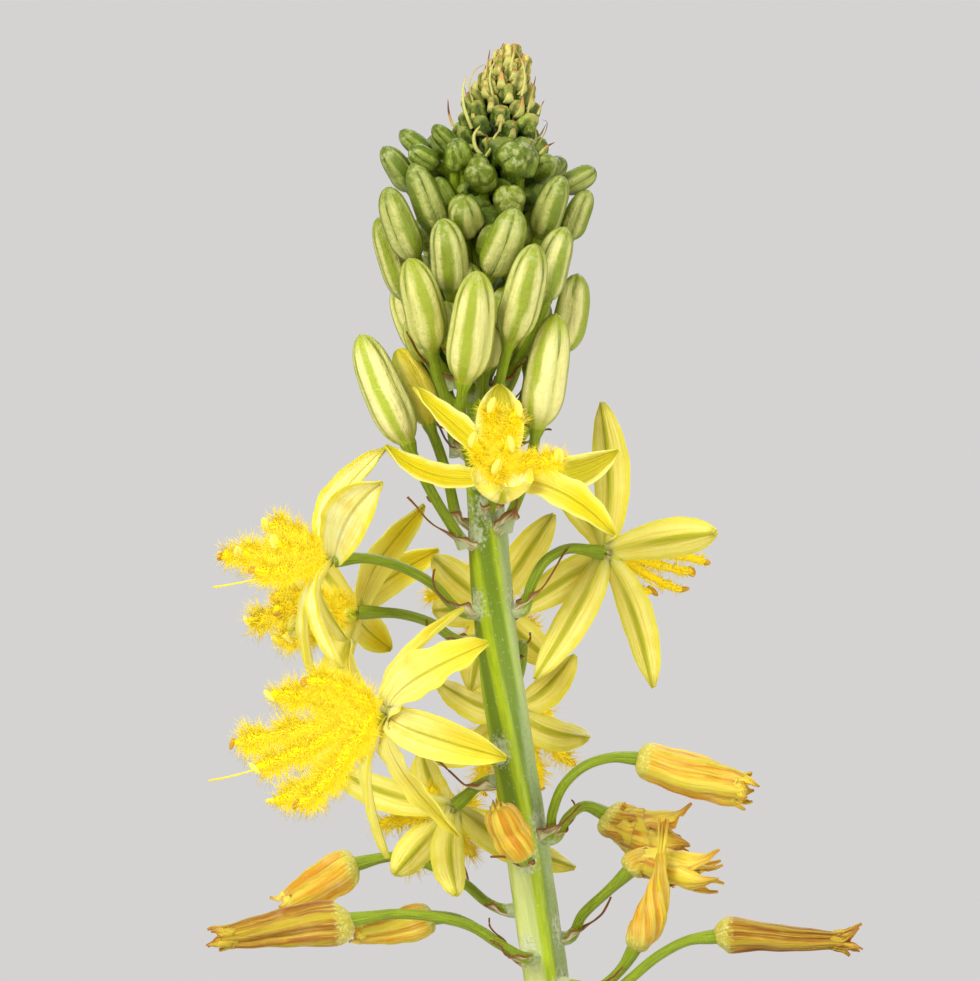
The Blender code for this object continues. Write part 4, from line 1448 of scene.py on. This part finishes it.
# %% Set the long bracts
AWL_STEP = 0.12 * MM
RACEME_FOOT = np.array((-7.4, 0.0, 92.0))  # mm; the points below are measured from here
LONG_BRACTS = [  # thickness in mm, how brown it is, and the points of its middle line
    (0.13, 0.1, (-4.6, -1.6, 53.2), (-5.1, -1.5, 54.6), (-5.15, -1.3, 55.7), (-4.95, -1.1, 56.5)),
    (0.08, 0.5, (-4.5, -0.9, 54.8), (-4.75, -0.9, 56), (-4.3, -0.7, 57), (-3.8, -0.5, 57.3)),
    (0.1, 1.0, (-3.8, -0.9, 56.4), (-3.6, -0.9, 57.4), (-3.48, -0.8, 58.2)),
    (0.11, 0.8, (-1.2, -1.6, 54), (-0.85, -1.5, 55.4), (-0.62, -1.3, 56.5)),
    (0.1, 0.8, (-0.5, -1.2, 54.1), (-0.3, -1.1, 54.6), (-0.1, -1, 55)),
    (0.12, 1.4, (-5.8, -0.8, 53.4), (-6.05, -0.8, 54.3), (-6.1, -0.8, 55.1)),
    (0.14, 1.0, (-0.4, -1.8, 51.6), (0.1, -1.8, 52.1), (0.55, -1.7, 52.35)),
    (0.05, 1.2, (-0.4, -1, 52.4), (0.03, -1, 53.2), (0.05, -1, 53.7), (-0.25, -1, 53.8)),
    (0.17, 0.1, (-3.8, -2.6, 51.3), (-4.35, -2.8, 51.9), (-4.45, -2.7, 52.8), (-4.1, -2.5, 53.3)),
    (0.16, 0.2, (-3.8, -2.6, 51.3), (-3.35, -2.9, 52), (-3.2, -2.9, 52.6), (-2.9, -2.8, 53)),
    (0.12, 0.7, (-2.9, -2.2, 53), (-2.8, -2.4, 53.6), (-2.85, -2.3, 54)),
    (0.12, 0.6, (-2.2, -1.5, 57), (-2, -1.6, 57.9), (-1.9, -1.2, 58.5)),
    (0.09, 0.4, (-3.3, -1.6, 55.2), (-3.5, -1.7, 56.4), (-3.2, -1.3, 57.4), (-2.8, -0.8, 58.1)),
    (0.09, 0.4, (-1.5, -1.9, 55.2), (-1.3, -1.8, 56.4), (-1.5, -1.3, 57.4), (-1.9, -0.8, 58.2)),
]


def long_bract(thick, brown, *spots):
    """An awl along a line, thick at its foot and sharp at its end."""
    rows = smooth_rows((np.array(spots) + RACEME_FOOT) * MM, AWL_STEP)
    share = np.linspace(0, 1, len(rows))
    return {
        "points": rows,
        "radius": thick * 0.8 * MM * np.clip(1.02 - share, 0, 1) ** (0.35 + 0.2 * min(brown, 1)),
        "level": share * (0.5 + 0.5 * brown) + 0.25 * brown,
        "papery": 1.0,
        "station": share * 3,
        "ribbing": 0.15,
    }


awls = [long_bract(*row) for row in LONG_BRACTS]
sizes = {"Sides": 12, "Ribs": 3, "Pinch": 1.0, "Material": tip_skin}
grow("long_bracts", "tip_cream", [], ribbed_sweep, awls, **sizes)

# %% [markdown]
# ## Withered flowers
#
# A bulbine flower closes again when it is over: its petals fold together round the fruit, shrink
# and turn orange. So a withered flower is a sweep with five ribs, the backs of the petals that
# show, on a round foot, and it twists as the petals do. At its mouth six loose petal ends stop at
# different lengths and splay; those are short straps.


# %% The withered flower's materials
def withered_colour(lines, middle, valley, along, cloud, age):
    """Amber and olive with brown lengthwise streaks, paler on the petals' midribs, with pale
    patches of painted sheen.
    """
    streak = band(lines, 0.4, 0.58)
    warm = blended(streak, (236, 212, 80), (222, 172, 38))
    drab = blended(streak, (206, 168, 54), (150, 98, 18))
    brown = larger(valley * 0.8, band(lines, 0.53, 0.61))
    brown = brown * band(along, 0.06, 0.3) * (age * 0.35 + 0.55)
    grit = grain(on_object(), 5200.0, 2.0)
    foot = band(along, 0.22, 0.0) + grit * 0.6 - 0.3
    pale = blended(band(grit, 0.45, 0.7), (206, 198, 72), (232, 224, 142))
    return layered(
        blended(band(cloud * 0.8 - 0.4 + age, 0.25, 0.75), warm, drab),
        (middle * 0.75, blended(age, (216, 202, 50), (176, 152, 28))),
        (brown, blended(age, (222, 136, 26), (138, 76, 18))),
        (band(lines, 0.58, 0.64) * age * 0.8, (108, 56, 14)),
        # Painted sheen: pale cream patches that stand for the gloss of the dry petals, fewer as
        # they age.
        (band(cloud, 0.45, 0.85) * (0.5 - 0.4 * age), (246, 222, 140)),
        (band(foot, 0.3, 0.8) * 0.85, pale),
    )


@plant_material
def withered_tip_skin():
    """A withered petal's loose end, browned at its tip."""
    across, along, _, tone, lateral = strap_values()
    lines = grain(place_of(across * 3.2, along * 1.2, tone * 9.0), 1.0, 4.0, 0.6)
    cloud = grain(on_object(), 620.0, 4.0)
    middle, valley = band(lateral, 0.4, 0.1), band(lateral, 0.85, 1.0)
    colour = withered_colour(lines, middle, valley, 1.0, cloud, tone)
    colour = blended(band(along, 0.6, 1.0) * 0.55, colour, (158, 92, 34))
    return colour, cloud * 0.25 + 0.42, lines + cloud, 0.12, 0.35


@plant_material
def withered_skin():
    """The folded petals' backs: midribs with dark seams between them."""
    share, rib, age = (carried(name) for name in ("share", "rib", "age"))
    fine = streaks(9.0, 4.0)
    lines = streaks(3.4, 7.0) * 0.6 + fine * 0.4
    cloud = grain(on_object(), 620.0, 4.0)
    across = rib + streaks(1.1, 5.0) * 1.2 + lines * 0.6 - 0.9
    middle, valley = band(across, 0.34, 0.0), band(across, 0.7, 0.96)
    colour = withered_colour(lines, middle, valley, share, cloud, age)
    return colour, cloud * 0.25 + 0.36, lines + fine, 0.16, 0.35


# %% Withered manners
BODY_STEP, TIP_STEP = 0.22 * MM, 0.1 * MM
DRY_THICK, DRY_KEEL, DRY_RUFFLE = 0.1 * MM, 0.06 * MM, 0.2
BODY_SHARE = 0.92  # how much of its solid's length the folded body fills
TIP_ROWS, TIP_COUNT = 14, 6
TYPICAL = {
    "age": 0.45,  # from fresh and amber to old and brown
    "waist": 0.92,  # how slender the mouth is
    "splay": 0.6,  # how far the loose ends spread, in mm
    "loose": 0.78,  # where they start along the flower
    "longer": 0.0,  # how far they pass the solid, in mm
    "twist": 0.35,  # in radians
    "gather": 1.0,  # how tightly they are drawn together
    "half_open": False,
}
HALF_OPEN = dict(half_open=True, waist=0.45, loose=0.1)
WITHERED = {
    "faded_1": dict(age=0.22, splay=0.55),
    "faded_2": dict(age=0.5, splay=2.6, twist=0.9) | HALF_OPEN,
    "faded_3": dict(age=0.3, splay=2.2, twist=0.8, longer=0.8) | HALF_OPEN,
    "faded_4": dict(age=0.1, splay=0.1, twist=3.4, longer=1.5, gather=0.45),
    "faded_5": dict(age=1.0, splay=1.25, waist=0.7),
    "faded_6": dict(age=0.68, waist=0.62),
    "faded_7": dict(age=0.05),
    "faded_8": dict(age=0.15),
    "faded_9": dict(age=0.1, splay=0.0, gather=0.5),
}
print("half-open withered flowers:", sum("half_open" in own for own in WITHERED.values()))


# %% Fold the withered petals
def waist(manner, share):
    """How far a withered flower narrows towards its mouth, along its length."""
    return 1 - (1 - manner["waist"]) * np.clip((share - 0.25) / 0.6, 0, 1) ** 0.8


def withered_body(name):
    """A withered flower's folded petals as one ribbed tube with a round foot."""
    line = smooth_rows(withered_rows(name)[1], BODY_STEP)
    manner, wave = TYPICAL | WITHERED[name], hash_of(name)
    rows = max(int(len(line) * BODY_SHARE), 4)
    share = np.linspace(0, 1, len(line))[:rows]
    line = line[:rows]
    foot = (1 - np.clip(1 - share / 0.11, 0, 1) ** 2.4) ** 0.5
    close = np.where(np.arange(rows) >= rows - 1, 0.3, 1.0)
    widest = np.maximum(line[:, 3], 0.4 * MM)
    widest[share < 0.15] = np.maximum(widest[share < 0.15], widest.max() * 0.86)
    crumple = 1 + 0.03 * np.sin(share * 13 + wave) + 0.02 * np.sin(share * 29 + wave * 2)
    widest = widest * waist(manner, share) * 0.98 * foot * crumple * close
    turn = manner["twist"] * share + 0.12 * np.sin(share * 6 + wave)
    seam = np.clip((share - 0.04) * 5, 0, 1) * (1 + 0.5 * np.sin(share * 8 + wave))
    return {
        "points": line[:, :3],
        "radius": np.maximum(widest, STALK * 0.9),
        "station": np.linspace(0, (rows - 1) * BODY_STEP / MM, rows),
        "share": share,
        "ribbing": 0.05 * np.clip(share * 6, 0, 1) + 0.05 * share,
        "groove": 0.13 * seam,
        "spin": wave % 6 + turn + 0.2,
        "age": manner["age"],
    }


bodies = [withered_body(name) for name in faded_rows]
sizes = {"Sides": 60, "Ribs": 5, "Pinch": 3.5, "Material": withered_skin}
grow("withered_bodies", "faded_orange", faded_rows, ribbed_sweep, bodies, **sizes)


# %% Splay the loose ends
def section_axes(line):
    """The way a line runs and two directions across it, carried along without a sudden turn."""
    forward = heading(line)
    first = unit(np.cross(forward[0], (0.1, 1.0, 0.3)))
    axes = []
    for row in forward:
        first = unit(first - row * np.dot(first, row))
        axes.append(first)
    return forward, np.array(axes), np.cross(forward, axes)


def withered_tips(name):
    """The loose petal ends round a withered flower's mouth."""
    manner, wave = TYPICAL | WITHERED[name], hash_of(name)
    loose, half_open = manner["loose"], manner["half_open"]
    later, end_share, broad = (0.1, 0.4, 0.95) if half_open else (0.45, 0.7, 0.62)
    dense = smooth_rows(withered_rows(name)[1], TIP_STEP)
    share, spots = np.linspace(0, 1, TIP_ROWS), np.linspace(0, 1, len(dense))
    made = []
    for number in range(TIP_COUNT):
        stop = min(0.97 + 0.05 * math.sin(wave * 1.1 + number * 2.6), 1)
        reach = loose + (stop - loose) * share
        line = np.stack([np.interp(reach, spots, dense[:, i]) for i in range(4)], axis=1)
        forward, first, second = section_axes(line[:, :3])
        clock = math.tau * number / TIP_COUNT + wave + 0.2 * np.sin(share * 4 + number)
        radial = first * np.cos(clock)[:, None] + second * np.sin(clock)[:, None]
        width = np.maximum(line[:, 3], 0.35 * MM) * manner["gather"]
        splay = manner["splay"] * np.clip((share - later) / (1 - later), 0, 1) ** 1.6
        splay = splay * (0.55 + 0.45 * math.sin(number * 2.4 + wave))
        crumple = 0.16 * np.sin(share * 11 + number * 2) * share * half_open
        out = width * waist(manner, reach) * (0.74 + 0.2 * np.clip(share * 3, 0, 1))
        out = out + (splay + crumple) * MM
        further = forward * (share**2 * manner["longer"] * MM)[:, None]
        taper = np.clip((1.02 - share) / end_share, 0, 1) ** 0.8
        half = width * broad * np.maximum(taper, 0.12)
        fold = 1.1 + 0.4 * np.sin(share * 5 + number * 1.3)
        middle = line[:, :3] + radial * out[:, None] + further
        dry = DRY_THICK, DRY_KEEL, DRY_RUFFLE, wave + number, manner["age"]
        made.append(strap(middle, -radial, half, fold, *dry))
    return made


tips = [tip for name in faded_rows for tip in withered_tips(name)]
strap_piece("withered_tips", "faded_orange", [], withered_tip_skin, tips)

# %% [markdown]
# ## Papery bracts
#
# Under each stalk sits a dry bract: a beige, papery scale that clasps the stalk's foot and runs
# out into a curled brown thread. It is a strap again, wide for its first quarter and thin as a
# hair after that.


# %% The bract's material
@plant_material
def bract_skin():
    """Beige paper with darker fibres that turns dark brown towards the thread."""
    across, along, _, tone, lateral = strap_values()
    fibres = grain(place_of(across * 5.0, along * 6.0, tone), 1.0, 4.0)
    paper = blended(band(fibres, 0.4, 0.66), (214, 206, 160), (166, 144, 96))
    brown = blended(fibres, (92, 54, 20), (156, 104, 50))
    reach = along + band(lateral, 0.6, 1.0) * 0.25 + fibres * 0.3 - 0.15
    colour = blended(band(reach, 0.2, 0.44), paper, brown)
    return colour, fibres * 0.2 + 0.6, fibres, 0.04, 0.2


# %% Place the bracts
BRACT_ROWS = 26
BRACT_HALF = 0.8 * MM
SCALE_SHARE = 0.26  # how much of a bract is the wide scale
BRACT_TOP = 0.1305  # above this height the buds hide their bracts


def bract(number, rows):
    """A bract under a stalk's foot, with its thread curling away."""
    foot = Vector(rows[0, :3])
    ahead = (Vector(rows[1, :3]) - foot).normalized()
    wave = number * 2.4 + 0.7
    length = (2.9 + 1.1 * math.sin(number * 1.7)) * MM
    centre, radius = stem_at(foot.z)
    outward = (foot - centre).to_2d().to_3d().normalized()
    sideways = outward.cross(UP)
    start = centre + outward * radius * 0.9 - UP * 0.5 * MM
    aim = outward * 0.75 + UP * (0.75 + 0.35 * math.sin(wave))
    aim = (aim + sideways * 0.5 * math.sin(wave * 1.7)).normalized()
    first = foot + ahead * 1.3 * MM + outward * 0.3 * MM - UP * 0.35 * MM
    second = first + aim * length * 0.45 + outward * 0.4 * MM
    last = first + aim * length + sideways * math.sin(wave * 2.9) * 0.8 * MM
    t = np.linspace(0, 1, BRACT_ROWS)[:, None]
    curl = np.sin(t * 9 + wave) * np.clip(t - 0.35, 0, 1) * 0.5 * MM
    lift = np.sin(t * 6.5 + wave * 2) * np.clip(t - 0.4, 0, 1) * 0.5 * MM
    line = cubic(t, start, first, second, last)
    line = line + np.array(sideways) * curl + np.array(UP) * lift
    share = t[:, 0]
    width = np.exp(-((np.maximum(share - SCALE_SHARE, 0) / 0.13) ** 2))
    width = BRACT_HALF * np.clip(width, 0.085, 1) * np.clip(0.7 + share * 2, 0, 1)
    inward = np.tile(ahead * 0.6 + UP * 0.8, (BRACT_ROWS, 1))
    fold = 1.7 * np.clip(1 - share * 2, 0.2, 1)
    return strap(line, inward, width, fold, DRY_THICK, ruffle=0.17, wave=wave, tone=wave)


feet = [rows for rows in bud_rows.values() if rows[0, 2] < BRACT_TOP] + stalk_rows
bracts = [bract(number, rows) for number, rows in enumerate(feet)]
strap_piece("bracts", "tip_cream", [], bract_skin, bracts)

# %% [markdown]
# ## The bottle and its water
#
# The bottle is turned: one outline, carried round the upright axis in many steps, gives a smooth
# wall with a rolled lip. Its height and width are read from the solid's box, and its wall, floor
# and neck are the solid's own. The water reaches a hair's breadth into the wall, as a renderer
# needs where glass and water meet, and climbs a little at its rim.


# %% Turn an outline
TURN_STEPS = 96
GLASS_CREASE = 40  # degrees


def turned(name, outline, material):
    """A closed body from an outline of (radius, height) that starts and ends on the axis."""
    corners, faces, loops = [], [], []
    for radius, height in outline:
        steps = range(TURN_STEPS if radius > 0 else 1)
        loops.append([len(corners) + step for step in steps] * (TURN_STEPS // len(steps)))
        for angle in (math.tau * step / TURN_STEPS for step in steps):
            corners.append((radius * math.cos(angle), radius * math.sin(angle), height))
    for low, high in zip(loops, loops[1:]):
        for step in range(TURN_STEPS):
            after = (step + 1) % TURN_STEPS
            faces.append(tuple(dict.fromkeys((low[step], low[after], high[after], high[step]))))
    return solid_piece(name, corners, faces, material, GLASS_CREASE)


def clear_skin(name, tint, ior, fineness, ripple, rough):
    """A clear material with faint ripples."""
    made, shader = open_material(name)
    waves = grain(on_object(), fineness, 2.0)
    wire(relief_of(waves, ripple), shader["Normal"])
    wire(blended(waves, tint, (255, 255, 255)), shader["Base Color"])
    wire(waves * rough + rough, shader["Roughness"])
    shader["Transmission Weight"].default_value = 1.0
    shader["IOR"].default_value = ior
    return made


def arc(radius, height, bend, start, end, steps=12):
    """Outline points on an arc round (radius, height), with its angles in degrees."""
    angles = np.radians(np.linspace(start, end, steps + 1))
    return [(radius + bend * math.cos(a), height + bend * math.sin(a)) for a in angles]


def shoulder(inner, outer, steps=28):
    """Outline points of the shoulder, from the neck's radius at the top to the body's."""
    share = np.arange(steps + 1) / steps
    swell = (1 - np.cos(math.pi * share)) / 2
    height = SHOULDER_HIGH + (SHOULDER_LOW - SHOULDER_HIGH) * share
    return list(zip(inner + (outer - inner) * swell, height))


print("turning tools ready")

# %% Make the bottle and the water
WALL, FLOOR, CORNER = 2.0 * MM, 4.0 * MM, 3.0 * MM
NECK_OUTER, NECK_BORE, LIP_RADIUS, LIP_HEIGHT = 8.6 * MM, 6.4 * MM, 10.0 * MM, 4.5 * MM
SHOULDER_LOW, SHOULDER_HIGH = 36 * MM, 51 * MM
LIP_FILLET = 0.5 * MM
bottle_low, bottle_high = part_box("glass_bottle")
body_radius, bottle_height = bottle_high.x, bottle_high.z - bottle_low.z
water_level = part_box("water")[1].z
inner_radius = body_radius - WALL
bead = (LIP_RADIUS - NECK_BORE) / 2
lip_low = bottle_height - LIP_HEIGHT
outline = [(0, FLOOR)] + arc(inner_radius - CORNER, FLOOR + CORNER, CORNER, -90, 0)
outline += reversed(shoulder(NECK_BORE, inner_radius))
outline += arc(NECK_BORE + bead, bottle_height - bead, bead, 180, 0)
outline += [(LIP_RADIUS, lip_low + MM)]
outline += arc(NECK_OUTER + LIP_FILLET, lip_low + 0.4 * MM, LIP_FILLET, -60, -180, 4)
outline += shoulder(NECK_OUTER, body_radius)
outline += arc(body_radius - CORNER, CORNER, CORNER, 0, -90)
outline += [(body_radius * 0.62, 0.0), (body_radius * 0.56, 0.7 * MM), (0, 1.1 * MM)]
glass = clear_skin("bottle_glass", (226, 242, 236), 1.5, 55.0, 0.25, 0.012)
dress(turned("bottle", outline, glass), "glass", "glass_bottle")
reach = 0.05 * MM
outline = [(0, FLOOR - reach)]
outline += arc(inner_radius - CORNER, FLOOR + CORNER, CORNER + reach, -90, 0)
outline += [(inner_radius + reach, water_level + 0.5 * MM)]
outline += [(inner_radius - 0.5 * MM, water_level + 0.1 * MM)]
outline += [(inner_radius - 1.3 * MM, water_level), (0, water_level)]
liquid = clear_skin("still_water", (236, 246, 240), 1.33, 30.0, 0.1, 0.004)
dress(turned("still_water", outline, liquid), "water", "water")

# %% [markdown]
# ## Floor, light and camera
#
# The spike is seen level and from close by, against a plain pale grey. The floor lies under the
# bottle, below the camera's view. Broad lamps stand on both sides and above, so that shadows stay
# soft, and the grey all round fills them.

# %% Stage the part
BACKDROP, AMBIENT = (213, 211, 210), (150, 149, 149)
FLOOR_RADIUS = 0.6
scene = bpy.context.scene
work = bmesh.new()
bmesh.ops.create_circle(work, cap_ends=True, segments=TURN_STEPS, radius=FLOOR_RADIUS)
mesh = bpy.data.meshes.new("floor")
work.to_mesh(mesh)
work.free()
floor = add_piece("floor", mesh)
paper, shader = open_material("floor_paper")
speck = grain(on_object(), 900.0, 2.0)
wire(blended(speck, (222, 221, 219), (230, 229, 227)), shader["Base Color"])
shader["Roughness"].default_value = 0.8
mesh.materials.append(paper)
print("floor radius:", FLOOR_RADIUS, "m")


# %% Light it
HEAD = Vector((-0.0109, 0, 0.122))  # the middle of the flower head


def place_object(name, data, place, turn):
    """A lamp or a camera in the scene."""
    made = bpy.data.objects.new(name, data)
    made.location = place
    made.rotation_euler = turn
    scene.collection.objects.link(made)
    return made


def lamp(name, away, size, power):
    """A square area lamp that faces the flower head from a distance."""
    data = bpy.data.lights.new(name, "AREA")
    data.size, data.energy = size, power
    turn = (-Vector(away)).to_track_quat("-Z", "Y").to_euler()
    place_object(name, data, HEAD + Vector(away), turn)


world = bpy.data.worlds.new("plain_grey")
world.use_nodes = True
OPEN.append(world.node_tree)
seen = node("ShaderNodeLightPath", None, "Is Camera Ray")
seen = larger(seen, seen["Is Transmission Ray"])
wire(blended(seen, AMBIENT, BACKDROP), world.node_tree.nodes["Background"].inputs["Color"])
scene.world = world
lamp("key", (-0.3, -0.35, 0.35), size=0.3, power=3.7)
lamp("fill", (0.4, -0.35, 0.1), size=0.4, power=1.8)
lamp("back", (0.1, 0.4, 0.3), size=0.35, power=1.2)
scene.view_settings.view_transform = "Standard"
print("lamps:", len(bpy.data.lights))

# %% Place the camera
VIEW_DISTANCE = 0.35
VIEW_WIDTH = 0.06125  # what the view spans at the stem
camera_data = bpy.data.cameras.new("camera")
camera_data.sensor_fit = "HORIZONTAL"
camera_data.lens = camera_data.sensor_width * VIEW_DISTANCE / VIEW_WIDTH
place = (-0.010875, -VIEW_DISTANCE, 0.1226875)
scene.camera = place_object("camera", camera_data, place, (math.pi / 2, 0, 0))
print("lens:", round(camera_data.lens), "mm")
